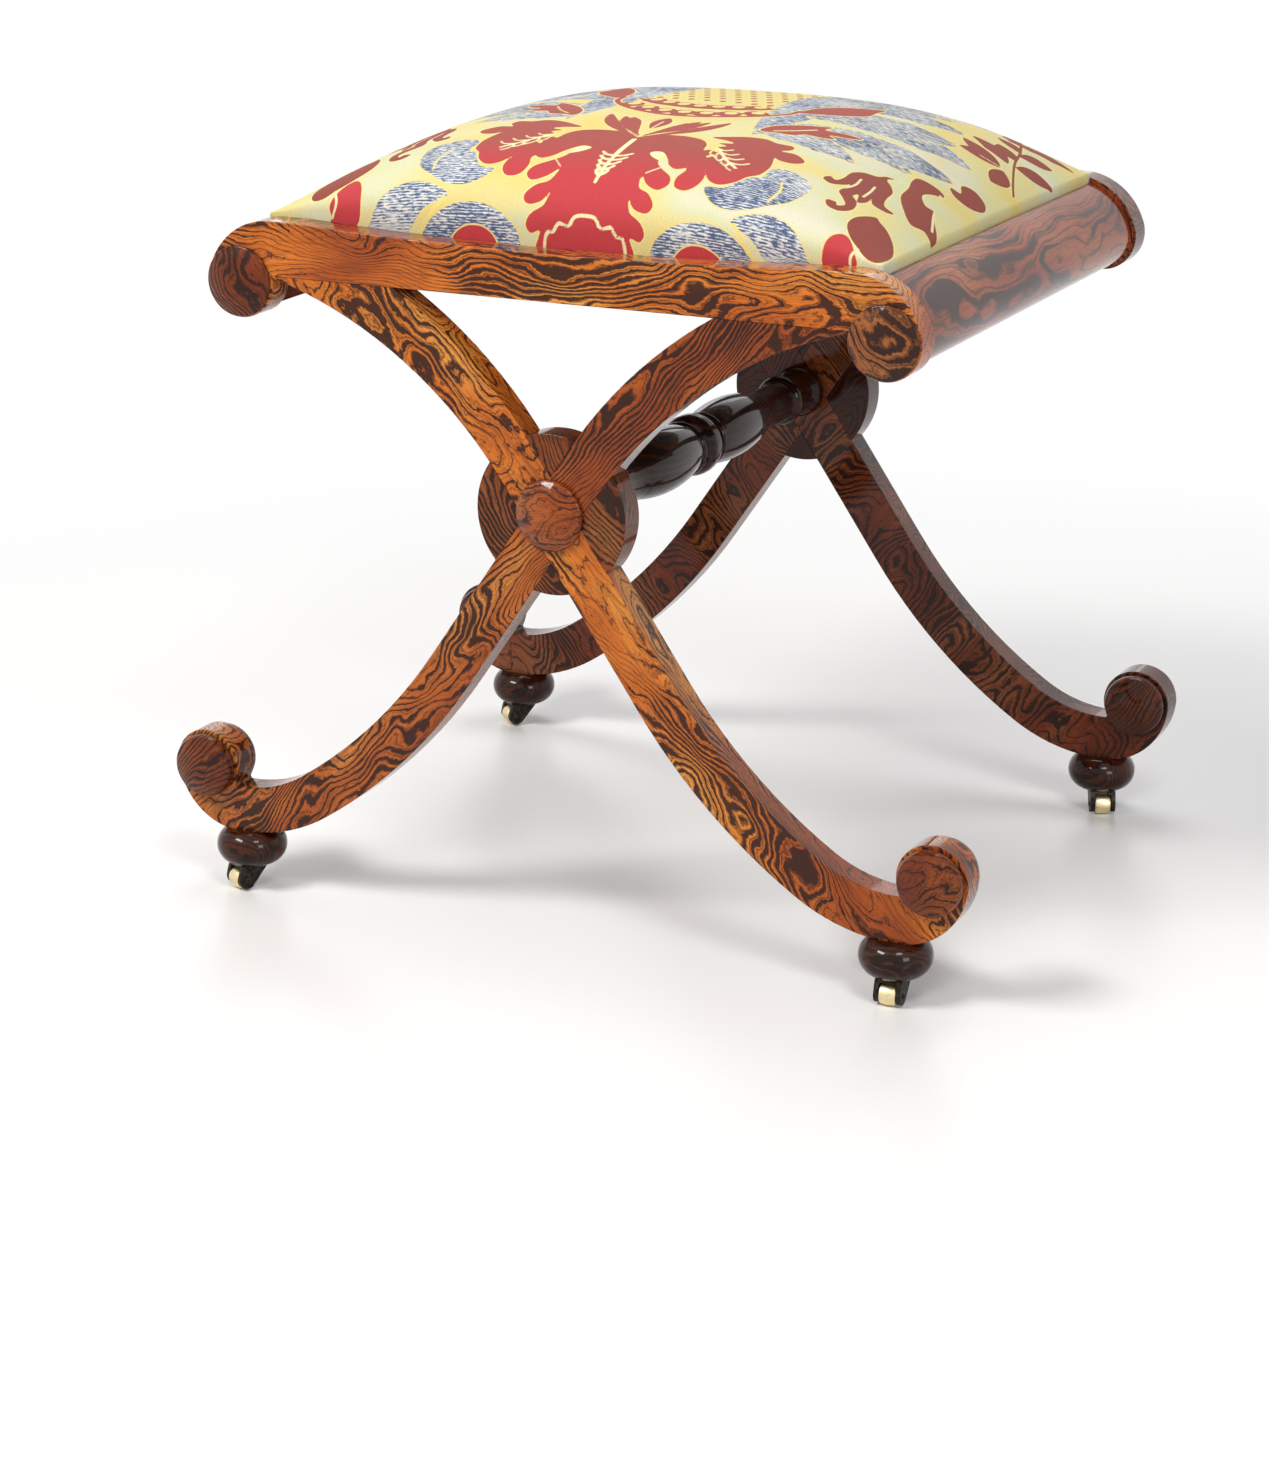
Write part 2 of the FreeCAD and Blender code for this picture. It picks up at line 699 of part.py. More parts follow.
def corners():
    """Name, place and resting angle of each foot."""
    for end, out in ENDS.items():
        for side, across in SIDES.items():
            corner = f"{end}_{side}"
            yield corner, FreeCAD.Vector(across * BUN_X, out * leg_middle, 0), CASTOR_TURNS[corner]


# The widest level of a bun foot, as a share of its height, and the angles of the plate's screws
BUN_WAIST = 0.54
PLATE_SCREW_ANGLES = (90, 210, 330)


def bun_foot(corner, base):
    bottom = size.castor_height
    waist = bottom + size.bun_height * BUN_WAIST
    plate_top = bottom + size.castor_plate_thickness
    plate_bore = size.castor_plate_radius + size.glue_gap
    pin_bore = size.pintle_radius + size.running_gap
    pin_top = bottom + size.pintle_length + size.running_gap
    spigot_top = foot_flat_height + size.bun_spigot_length
    body = turned(
        f"{corner}_bun_foot", spot(0, pin_top), spot(pin_bore, pin_top), spot(pin_bore, plate_top),
        spot(plate_bore, plate_top), spot(plate_bore, bottom), spot(size.bun_base_radius, bottom),
        (spot(size.bun_radius, waist), spot(size.bun_top_radius, foot_flat_height)),
        spot(size.bun_spigot_radius, foot_flat_height), spot(size.bun_spigot_radius, spigot_top),
        spot(0, spigot_top),
    )
    holes = sketch_on(body, "XY_Plane", "Sizes.castor_height + Sizes.castor_plate_thickness")
    for angle in PLATE_SCREW_ANGLES:
        circle(
            holes, heading(angle) * size.plate_screw_circle, size.plate_screw_radius,
            "Sizes.plate_screw_radius + Sizes.glue_gap",
        )
    pocket(body, holes, "Sizes.plate_screw_length + Sizes.glue_gap", along_normal=True)
    keep(place(body, base), f"{corner}_bun_foot")


def castor_plates():
    """The four round plates let into the bun feet, with their screws."""
    master = new_body("castor_plate_master")
    sketch = sketch_on(master, "XY_Plane", "Sizes.castor_height")
    circle(sketch, spot(0, 0), size.castor_plate_radius, "Sizes.castor_plate_radius")
    circle(sketch, spot(0, 0), size.pintle_radius, "Sizes.pintle_radius + Sizes.running_gap")
    screw_spots = [heading(angle) * size.plate_screw_circle for angle in PLATE_SCREW_ANGLES]
    for point in screw_spots:
        circle(sketch, point, size.plate_screw_head, "Sizes.plate_screw_head + Sizes.glue_gap")
    pad(master, sketch, "Sizes.castor_plate_thickness")
    group("castor_plates", master, [FreeCAD.Placement(base, about_z(0)) for _, base, _ in corners()])

    bottom = size.castor_height
    shank_start = bottom + size.castor_plate_thickness
    tip = bottom + size.plate_screw_length
    screw = turned(
        "plate_screw_master", spot(0, bottom), spot(size.plate_screw_head, bottom),
        spot(size.plate_screw_head, shank_start), spot(size.plate_screw_radius, shank_start),
        spot(size.plate_screw_radius, tip - size.plate_screw_radius), spot(0, tip),
    )
    spots = [FreeCAD.Placement(base + point, about_z(0)) for _, base, _ in corners() for point in screw_spots]
    group("castor_plate_screws", screw, spots)


# Angles round the axle at which a cheek's outline turns, and its shoulder as shares of the cheek's radius
CHEEK_BACK, CHEEK_BOTTOM, CHEEK_NOSE, CHEEK_SHOULDER = 215, -70, 10, 48
SHOULDER_SWELL = 1.22
SHOULDER_REACH = 0.55


def castor_fork(corner, base, turn):
    """A castor's fork: a bridge and two cheeks in one, with the pintle on top."""
    body = new_body(f"{corner}_castor_fork")
    top = size.castor_height - size.castor_gap
    trail = size.castor_trail
    axle = spot(trail, size.wheel_radius)
    back = spot(-size.pintle_radius * 2, top)
    back_low = spot(back.x, top - size.castor_bridge)
    lower = axle + heading(CHEEK_BACK) * size.cheek_radius
    nose = axle + heading(CHEEK_NOSE) * size.cheek_radius
    bottom = axle + heading(CHEEK_BOTTOM) * size.cheek_radius
    bulge = axle + heading(CHEEK_SHOULDER) * size.cheek_radius * SHOULDER_SWELL
    shoulder = spot(trail + size.cheek_radius * SHOULDER_REACH, top)
    side = sketch_on(body, "XZ_Plane")
    draw(side, back, back_low, lower, (bottom, nose), (bulge, shoulder))
    inside = "Sizes.wheel_width + 2 * Sizes.cheek_gap"
    pad(body, side, f"{inside} + 2 * Sizes.cheek_thickness", both_ways=True)
    slot = sketch_on(body, "XZ_Plane")
    rectangle(slot, -2 * trail, 3 * trail, 0, top - size.castor_bridge)
    pocket(body, slot, inside, both_ways=True)
    pin = sketch_on(body, "XY_Plane", "Sizes.castor_height - Sizes.castor_gap")
    circle(pin, spot(0, 0), size.pintle_radius, "Sizes.pintle_radius")
    pad(body, pin, "Sizes.pintle_length")
    bore = sketch_on(body, "XZ_Plane")
    circle(bore, axle, size.axle_radius, "Sizes.axle_radius + Sizes.glue_gap")
    pocket(body, bore, "2 * Sizes.wheel_width", both_ways=True)
    keep(place(body, base, about_z(turn)), f"{corner}_castor_fork")


def castor_wheel_and_axle(corner, base, turn):
    hub = base + heading(turn) * size.castor_trail + FreeCAD.Vector(0, 0, size.wheel_radius)
    across = about_z(turn).multiply(FreeCAD.Rotation(FreeCAD.Vector(1, 0, 0), 90))
    half_width = size.wheel_width / 2
    bore = size.axle_radius + size.running_gap
    edge = size.wheel_radius - size.wheel_crown
    wheel = turned(
        f"{corner}_castor_wheel", spot(bore, -half_width), spot(edge - size.wheel_crown, -half_width),
        spot(edge, size.wheel_crown - half_width),
        (spot(size.wheel_radius, 0), spot(edge, half_width - size.wheel_crown)),
        spot(edge - size.wheel_crown, half_width), spot(bore, half_width),
    )
    keep(place(wheel, hub, across), f"{corner}_castor_wheel")

    reach = half_width + size.cheek_gap + size.cheek_thickness
    head = size.axle_head_radius
    low_bow, low_tip = dome(head, -reach, -size.axle_head)
    axle = turned(
        f"{corner}_castor_axle", low_tip, (low_bow, spot(head, -reach)), spot(size.axle_radius, -reach),
        spot(size.axle_radius, reach), spot(head, reach), dome(head, reach, size.axle_head),
    )
    keep(place(axle, hub, across), f"{corner}_castor_axle")


# The eased end of a dowel, as a share of its radius
DOWEL_EASE = 0.2


def arm_dowels():
    low = rail_underside - size.dowel_down
    high = rail_underside + size.dowel_up
    ease = size.dowel_radius * DOWEL_EASE
    inner = size.dowel_radius - ease
    dowel = turned(
        "dowel_master", spot(0, low), spot(inner, low), spot(size.dowel_radius, low + ease),
        spot(size.dowel_radius, high - ease), spot(inner, high), spot(0, high),
    )
    group("arm_dowels", dowel, [
        FreeCAD.Placement(point, about_z(0)) for end in (-1, 1) for point in dowel_spots(end)
    ])


def bearer(name, half_run, rail_face, screws, turn):
    """A strip along the inside of a rail that the seat rests on, drawn along X at the front."""
    body = new_body(name)
    strip = sketch_on(body, "XY_Plane", RAIL_UNDERSIDE)
    rectangle(strip, -half_run, half_run, -rail_face, size.bearer_width - rail_face)
    pad(body, strip, "Sizes.bearer_height")
    bores = sketch_on(body, "XZ_Plane", f"{rail_face}")
    for x in screws:
        circle(
            bores, spot(x, rail_underside + size.bearer_height / 2), size.screw_radius,
            "Sizes.screw_radius + Sizes.glue_gap",
        )
    pocket(body, bores, "Sizes.bearer_width")
    keep(place(body, FreeCAD.Vector(), about_z(turn)), name)


def bearers():
    long_screws, short_screws = screw_runs()
    short_half = inner_face - size.bearer_width
    bearer("front_bearer", opening_half_length, inner_face, long_screws, 0)
    bearer("rear_bearer", opening_half_length, inner_face, long_screws, 180)
    bearer("right_bearer", short_half, opening_half_length, short_screws, 90)
    bearer("left_bearer", short_half, opening_half_length, short_screws, -90)

    tip = -size.screw_length
    screw = turned(
        "screw_master", spot(0, tip), spot(size.screw_radius, tip + size.screw_radius),
        spot(size.screw_radius, 0), spot(size.screw_head_radius, 0),
        dome(size.screw_head_radius, 0, size.screw_head_height),
    )
    height = rail_underside + size.bearer_height / 2
    placements = []
    for turn, face, run in (
        (0, inner_face, long_screws), (180, inner_face, long_screws),
        (90, opening_half_length, short_screws), (-90, opening_half_length, short_screws),
    ):
        for x in run:
            spin = FreeCAD.Placement(FreeCAD.Vector(), about_z(turn))
            seat = FreeCAD.Placement(FreeCAD.Vector(x, size.bearer_width - face, height), facing(1))
            placements.append(spin.multiply(seat))
    group("bearer_screws", screw, placements)


# Places of the tacks along each side, as shares of its half length
TACK_STEPS = (-0.8, -0.4, 0.0, 0.4, 0.8)


def tack_spots():
    """The tacks round the underside of the seat, in plan."""
    across = opening_half_length - size.bearer_width - size.dust_cloth_margin - size.tack_margin
    along = inner_face - size.bearer_width - size.dust_cloth_margin - size.tack_margin
    spots = []
    for step in TACK_STEPS:
        for sign in (-1, 1):
            spots.append(spot(step * across, sign * along))
            spots.append(spot(sign * across, step * along))
    return spots


def tack_holes(sketch, wanted=lambda point: True):
    for point in tack_spots():
        if wanted(point):
            circle(sketch, point, size.tack_radius, "Sizes.tack_radius + Sizes.glue_gap")


def slip_member(name, long_one, sign):
    """One member of the seat's slip frame, half-lapped at its corners."""
    body = new_body(name)
    length, depth, width = slip_half_length, slip_half_depth, size.slip_width
    inner_length = length - width
    inner_depth = depth - width
    if long_one:
        span = (-length, length, sign * depth, sign * inner_depth)
        laps = [(end * length, end * inner_length, sign * depth, sign * inner_depth) for end in (-1, 1)]
    else:
        span = (sign * length, sign * inner_length, -depth, depth)
        laps = [(sign * length, sign * inner_length, end * depth, end * inner_depth) for end in (-1, 1)]
    outline = sketch_on(body, "XY_Plane", f"{slip_bottom}")
    rectangle(outline, *span)
    pad(body, outline, "Sizes.slip_thickness")
    corners_cut = sketch_on(body, "XY_Plane", f"{slip_bottom} + Sizes.slip_thickness / 2")
    for lap in laps:
        rectangle(corners_cut, *lap)
    pocket(body, corners_cut, "Sizes.slip_thickness / 2", along_normal=long_one)
    holes = sketch_on(body, "XY_Plane", f"{slip_bottom}")
    if long_one:
        tack_holes(holes, lambda point: point.y * sign > inner_depth)
    else:
        tack_holes(holes, lambda point: point.x * sign > inner_length and abs(point.y) < inner_depth)
    deep = "Sizes.tack_length - Sizes.cover_thickness - Sizes.cloth_thickness + Sizes.glue_gap"
    pocket(body, holes, deep, along_normal=True)
    keep(body, name)


def strap(name, left, right, low, high, bottom):
    box = doc.addObject("Part::Box", name)
    box.Length = right - left
    box.Width = high - low
    box.setExpression("Height", "Sizes.web_thickness")
    box.Placement = FreeCAD.Placement(FreeCAD.Vector(left, low, bottom), FreeCAD.Rotation())
    return box


# Places of the outer straps, as shares of the reach across their run
CROSS_STRAP = 0.62
LONG_STRAP = 0.5


def seat_webbing():
    """Straps across and along the slip frame."""
    half_web = size.web_width / 2
    long_reach = slip_half_length - size.slip_width + size.web_overlap
    short_reach = slip_half_depth - size.slip_width + size.web_overlap
    straps = []
    for number in (-1, 0, 1):
        middle = number * long_reach * CROSS_STRAP
        left, right = middle - half_web, middle + half_web
        straps.append(strap(f"cross_strap_{number + 2}", left, right, -short_reach, short_reach, slip_top))
    upper = slip_top + size.web_thickness
    for number in (-1, 1):
        middle = number * short_reach * LONG_STRAP
        low, high = middle - half_web, middle + half_web
        straps.append(strap(f"long_strap_{number + 2}", -long_reach, long_reach, low, high, upper))
    webbing = doc.addObject("Part::Compound", "seat_webbing")
    webbing.Links = straps
    keep(webbing, "seat_webbing")


def base_cloth():
    body = new_body("base_cloth")
    sketch = sketch_on(body, "XY_Plane", f"{slip_top} + 2 * Sizes.web_thickness")
    rectangle(sketch, -slip_half_length, slip_half_length, -slip_half_depth, slip_half_depth)
    pad(body, sketch, "Sizes.cloth_thickness")
    keep(body, "base_cloth")


def dust_cloth():
    """The cloth across the underside of the seat, inside the bearers."""
    body = new_body("dust_cloth")
    across = opening_half_length - size.bearer_width - size.dust_cloth_margin
    along = inner_face - size.bearer_width - size.dust_cloth_margin
    sketch = sketch_on(body, "XY_Plane", f"{bearer_top} - Sizes.cloth_thickness")
    rectangle(sketch, -across, across, -along, along)
    tack_holes(sketch)
    pad(body, sketch, "Sizes.cloth_thickness")
    keep(body, "dust_cloth")


def seat_tacks():
    """Domed tacks through the dust cloth and the cover into the slip frame."""
    low = bearer_top - size.cloth_thickness
    head_bow, head_tip = dome(size.tack_head_radius, low, -size.tack_head_height)
    tip = low + size.tack_length
    tack = turned(
        "tack_master", head_tip, (head_bow, spot(size.tack_head_radius, low)), spot(size.tack_radius, low),
        spot(size.tack_radius, tip - 2 * size.tack_radius), spot(0, tip),
    )
    group("seat_tacks", tack, [FreeCAD.Placement(point, about_z(0)) for point in tack_spots()])


# Shares of the crown's height at which its outline is drawn
CROWN_LEVELS = (0.0, 0.22, 0.45, 0.66, 0.83, 0.94, 0.985)
# The crown's fullness: a power of the share of the way out, and a power of what that leaves of 1
LONG_WAY, LONG_DROP = 3.2, 0.92
SHORT_WAY, SHORT_DROP = 2.1, 0.36
HALVINGS = 40


def crown_share(across, along):
    """Height of the crown over a point of the seat, both given as shares of the half sizes."""
    return (1 - across**LONG_WAY) ** LONG_DROP * (1 - along**SHORT_WAY) ** SHORT_DROP


def crown_corner(level):
    """How far out along the seat's diagonal the crown is still as high as level."""
    low, high = 0.0, 1.0
    for _ in range(HALVINGS):
        middle = (low + high) / 2
        if crown_share(middle, middle) > level:
            low = middle
        else:
            high = middle
    return low


def crown_sketches(body, shrink):
    """Outlines of the crown, one above the other: four arcs each, drawn in at the foot and full above."""
    sketches = []
    length = slip_half_length + size.cover_thickness - shrink
    depth = slip_half_depth + size.cover_thickness - shrink
    for level in CROWN_LEVELS:
        height = crown_bottom + level * (size.crown_height - shrink)
        corner = crown_corner(level)
        reach = length * (1 - level ** (1 / LONG_DROP)) ** (1 / LONG_WAY)
        aside = depth * (1 - level ** (1 / SHORT_DROP)) ** (1 / SHORT_WAY)
        if level == 0:
            reach -= size.side_draw
            aside -= size.side_draw
        tip = spot(length * corner, depth * corner)
        sketch = sketch_on(body, "XY_Plane", f"{height}")
        draw(
            sketch, spot(tip.x, -tip.y), (spot(reach, 0), tip), (spot(0, aside), spot(-tip.x, tip.y)),
            (spot(-reach, 0), spot(-tip.x, -tip.y)), (spot(0, -aside), spot(tip.x, -tip.y)),
        )
        sketches.append(sketch)
    return sketches


def loft(body, kind, sketches):
    feature = body.newObject(f"PartDesign::{kind}", f"{body.Name}_loft")
    feature.Profile = sketches[0]
    feature.Sections = sketches[1:]
    return feature


def stuffing():
    body = new_body("stuffing")
    loft(body, "AdditiveLoft", crown_sketches(body, size.cover_thickness))
    keep(body, "stuffing")


def cover():
    """The patterned cover: crowned over the stuffing, down the slip frame's sides and turned under it."""
    body = new_body("cover")
    length = slip_half_length + size.cover_thickness
    depth = slip_half_depth + size.cover_thickness
    skirt = sketch_on(body, "XY_Plane", f"{bearer_top}")
    rectangle(skirt, -length, length, -depth, depth)
    pad(body, skirt, f"{crown_bottom - bearer_top}")
    loft(body, "AdditiveLoft", crown_sketches(body, 0))
    loft(body, "SubtractiveLoft", crown_sketches(body, size.cover_thickness))
    inside = sketch_on(body, "XY_Plane", f"{slip_bottom}")
    rectangle(inside, -slip_half_length, slip_half_length, -slip_half_depth, slip_half_depth)
    pocket(body, inside, f"{crown_bottom - slip_bottom}", along_normal=True)
    opening = sketch_on(body, "XY_Plane", f"{slip_bottom}")
    under_length = slip_half_length - size.cover_turn_under
    under_depth = slip_half_depth - size.cover_turn_under
    rectangle(opening, -under_length, under_length, -under_depth, under_depth)
    pocket(body, opening, "Sizes.cover_thickness")
    holes = sketch_on(body, "XY_Plane", f"{slip_bottom}")
    tack_holes(holes)
    pocket(body, holes, "Sizes.cover_thickness")
    keep(body, "cover")


def build():
    for end in ENDS:
        side_rail(end)
        for kind in ("through", "lapped"):
            leg(end, kind)
        disc_segments(end)
    for side in SIDES:
        end_rail(side)
    bosses()
    stretcher()
    for corner, base, turn in corners():
        bun_foot(corner, base)
        castor_fork(corner, base, turn)
        castor_wheel_and_axle(corner, base, turn)
    castor_plates()
    arm_dowels()
    bearers()
    for end, sign in ENDS.items():
        slip_member(f"slip_{end}", True, sign)
    for side, sign in SIDES.items():
        slip_member(f"slip_{side}", False, sign)
    seat_webbing()
    base_cloth()
    dust_cloth()
    seat_tacks()
    stuffing()
    cover()


# The least volume that a pocket takes away, in cubic millimetres
LEAST_CUT = 1e-3


def check():
    """Stops on a failed object, an invalid shape, or a pocket that takes nothing away."""
    for thing in doc.Objects:
        if {"Invalid", "Error"} & set(thing.State):
            raise RuntimeError(f"{thing.Name} has failed: {thing.State}")
        if thing.TypeId == "PartDesign::Pocket":
            if thing.Shape.Volume > thing.BaseFeature.Shape.Volume - LEAST_CUT:
                raise RuntimeError(f"{thing.Name} cuts nothing")
    for node in nodes:
        if node.Shape.isNull() or not node.Shape.isValid():
            raise RuntimeError(f"{node.Label} is not a valid shape")


build()
doc.recompute()
check()
os.makedirs("parts", exist_ok=True)
for node in nodes:
    node.Shape.exportStep(f"parts/{node.Label}.step")
print(len(nodes), "nodes")
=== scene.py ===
import math

import bmesh
import bpy
import numpy as np
from mathutils import Matrix, Vector


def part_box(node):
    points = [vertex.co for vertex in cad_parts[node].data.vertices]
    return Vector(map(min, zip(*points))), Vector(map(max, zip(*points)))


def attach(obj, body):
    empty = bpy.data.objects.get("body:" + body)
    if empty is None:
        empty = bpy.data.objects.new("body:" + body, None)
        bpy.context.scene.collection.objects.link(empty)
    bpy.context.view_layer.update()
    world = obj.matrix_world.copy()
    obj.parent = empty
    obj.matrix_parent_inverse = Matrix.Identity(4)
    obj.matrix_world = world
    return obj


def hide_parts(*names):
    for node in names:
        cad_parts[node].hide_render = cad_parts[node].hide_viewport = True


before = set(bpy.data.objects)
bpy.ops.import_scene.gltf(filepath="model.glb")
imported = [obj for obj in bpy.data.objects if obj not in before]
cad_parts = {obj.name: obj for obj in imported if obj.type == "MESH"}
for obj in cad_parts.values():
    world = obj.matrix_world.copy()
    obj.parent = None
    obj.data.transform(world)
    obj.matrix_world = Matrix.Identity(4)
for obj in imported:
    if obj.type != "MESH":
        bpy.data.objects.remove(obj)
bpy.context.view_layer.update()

MM = 0.001

# Camera, fitted to the photograph's corners, feet and roundels
PHOTO_HEIGHT = 1457
FOCAL_PIXELS = 3508.87
SENSOR = 36.0
CAMERA_PLACE = Vector((0.86044, -1.85779, 0.74653))
CAMERA_FORWARD = Vector((-0.41372, 0.85560, -0.31121))
CAMERA_UP = Vector((-0.13552, 0.28018, 0.95035))
CLOSEST_SEEN = 0.05

# Places read from the frame, in metres
COVER_LOW, COVER_HIGH = (Vector(corner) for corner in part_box("cover"))
CLOTH_LOW, CLOTH_HIGH = (Vector(corner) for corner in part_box("base_cloth"))
DUST_LOW, DUST_HIGH = (Vector(corner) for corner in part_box("dust_cloth"))
WEB_LOW, WEB_HIGH = (Vector(corner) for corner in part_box("seat_webbing"))
HALF_LENGTH = (COVER_HIGH.x - COVER_LOW.x) / 2
HALF_DEPTH = (COVER_HIGH.y - COVER_LOW.y) / 2
EDGE_RISE = 3.0 * MM
EDGE_HEIGHT = CLOTH_HIGH.z + EDGE_RISE
SLIP_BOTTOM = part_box("slip_front")[0][2]
CROWN = COVER_HIGH.z - EDGE_HEIGHT


def add_object(name, data):
    made = bpy.data.objects.new(name, data)
    bpy.context.scene.collection.objects.link(made)
    return made


def camera():
    data = bpy.data.cameras.new("camera")
    data.sensor_width = SENSOR
    data.lens = FOCAL_PIXELS / PHOTO_HEIGHT * SENSOR
    data.clip_start = CLOSEST_SEEN
    made = add_object("camera", data)
    right = CAMERA_FORWARD.cross(CAMERA_UP)
    turn = Matrix((right, CAMERA_UP, -CAMERA_FORWARD)).transposed()
    made.matrix_world = Matrix.Translation(CAMERA_PLACE) @ turn.to_4x4()
    bpy.context.scene.camera = made


class Graph:
    """A material and short calls for the nodes that it needs."""

    def __init__(self, name):
        self.material = bpy.data.materials.new(name)
        self.material.use_nodes = True
        self.tree = self.material.node_tree
        self.surface = self.tree.nodes["Principled BSDF"]

    def add(self, kind, inputs, out=0, **settings):
        node = self.tree.nodes.new("ShaderNode" + kind)
        for name, value in settings.items():
            setattr(node, name, value)
        for key, value in inputs.items():
            self.feed(node.inputs[key], value)
        return node.outputs[out]

    def feed(self, socket, value):
        if isinstance(value, bpy.types.NodeSocket):
            self.tree.links.new(value, socket)
        else:
            socket.default_value = value

    def place(self):
        """The point's place in the object's own coordinates, in metres."""
        return self.add("TexCoord", {}, out=3)

    def math(self, operation, first, second=0.0, clamp=False):
        return self.add("Math", {0: first, 1: second}, operation=operation, use_clamp=clamp)

    def times(self, first, second):
        return self.math("MULTIPLY", first, second)

    def plus(self, first, second):
        return self.math("ADD", first, second)

    def minus(self, first, second):
        return self.math("SUBTRACT", first, second)

    def scaled(self, vector, factors):
        return self.add("VectorMath", {0: vector, 1: factors}, operation="MULTIPLY")

    def noise(self, vector, scale, detail, roughness):
        values = {"Vector": vector, "Scale": scale, "Detail": detail, "Roughness": roughness}
        return self.add("TexNoise", values)

    def ramp(self, factor, stops):
        """Colours by a factor. A stop is a place and a grey or a colour."""
        node = self.tree.nodes.new("ShaderNodeValToRGB")
        elements = node.color_ramp.elements
        while len(elements) < len(stops):
            elements.new(0.5)
        for element, (place, colour) in zip(elements, stops):
            element.position = place
            element.color = paint(colour if isinstance(colour, tuple) else (colour, colour, colour))
        self.feed(node.inputs[0], factor)
        return node.outputs[0]

    def mix(self, factor, first, second, blend="MIX"):
        inputs = {0: factor, 6: first, 7: second}
        return self.add("Mix", inputs, out=2, data_type="RGBA", blend_type=blend)

    def attribute(self, name):
        return self.add("Attribute", {}, out=2, attribute_name=name)

    def bump(self, height, strength, distance):
        values = {"Height": height, "Strength": strength, "Distance": distance}
        return self.add("Bump", values)

    def finish(self, colour, roughness, normal=None, **constants):
        self.feed(self.surface.inputs["Base Color"], colour)
        self.feed(self.surface.inputs["Roughness"], roughness)
        if normal is not None:
            self.feed(self.surface.inputs["Normal"], normal)
        for name, value in constants.items():
            self.surface.inputs[name.replace("_", " ")].default_value = value
        return self.material


def linear(value):
    """Linear light for a value as the screen shows it, from 0 to 255."""
    share = value / 255
    return ((share + 0.055) / 1.055) ** 2.4 if value > 10 else share / 12.92


def rgb(red, green, blue):
    """A colour given as the screen shows it, turned into linear light."""
    return tuple(linear(value) for value in (red, green, blue))


def paint(colour):
    return colour + (1.0,)


# Rosewood: a board lies along its own X, and its rings widen about a heart outside it
HEART_Y, HEART_Z = 0.03, 0.035
RING_COUNT = 190.0
SLOW_WANDER = 21.0
QUICK_WANDER = 5.5
RIPPLE = 0.7
FINE_LINES = 2.31

# The wood's colours as the screen shows them, and its ground both orange and reddened
GROUND = (
    (0.34, (176, 82, 26), (176, 66, 38)),
    (0.50, (222, 120, 36), (222, 96, 58)),
    (0.64, (240, 156, 66), (240, 128, 86)),
)
GROUND_SHADE = 0.86
# How far a piece's redness darkens its ground further, as painted shade
RED_PAINTED_SHADE = 0.25
HALO = (150, 62, 22)
FIGURE = (44, 19, 10)
PORES = (36, 14, 8)


def tinted(colour, painted_light_level):
    return tuple(part * painted_light_level for part in rgb(*colour))


def between(first, second, share):
    return tuple(one + (other - one) * share for one, other in zip(first, second))


def grained(g, board, along, across, detail, roughness):
    """Noise drawn out along a board, in cycles for each metre along and across it."""
    return g.noise(g.scaled(board, (along, across, across)), 1.0, detail, roughness)


def growth_rings(g, board, figure):
    """The count of rings out from the heart. figure is how far they swirl."""
    parts = g.tree.nodes.new("ShaderNodeSeparateXYZ")
    g.feed(parts.inputs[0], board)
    out_y = g.minus(parts.outputs[1], HEART_Y)
    out_z = g.minus(parts.outputs[2], HEART_Z)
    squares = g.plus(g.times(out_y, out_y), g.times(out_z, out_z))
    rings = g.times(g.math("SQRT", squares), RING_COUNT)
    swirls = (
        (SLOW_WANDER, grained(g, board, 9.0, 24.0, 1.0, 0.4)),
        (QUICK_WANDER, grained(g, board, 30.0, 55.0, 1.0, 0.5)),
        (RIPPLE, grained(g, board, 210.0, 420.0, 2.0, 0.6)),
    )
    for amount, noise in swirls:
        swing = g.minus(noise, 0.5)
        rings = g.plus(rings, g.times(swing, amount * figure))
    return rings


def ring_lines(g, rings, edge, soft):
    """Lines along the rings, from 0 between them to 1 on them. A lower edge makes them wider."""
    wave = g.math("ABSOLUTE", g.minus(g.math("FRACT", rings), 0.5))
    over = g.minus(g.times(wave, 2.0), edge)
    return g.math("DIVIDE", over, soft, clamp=True)


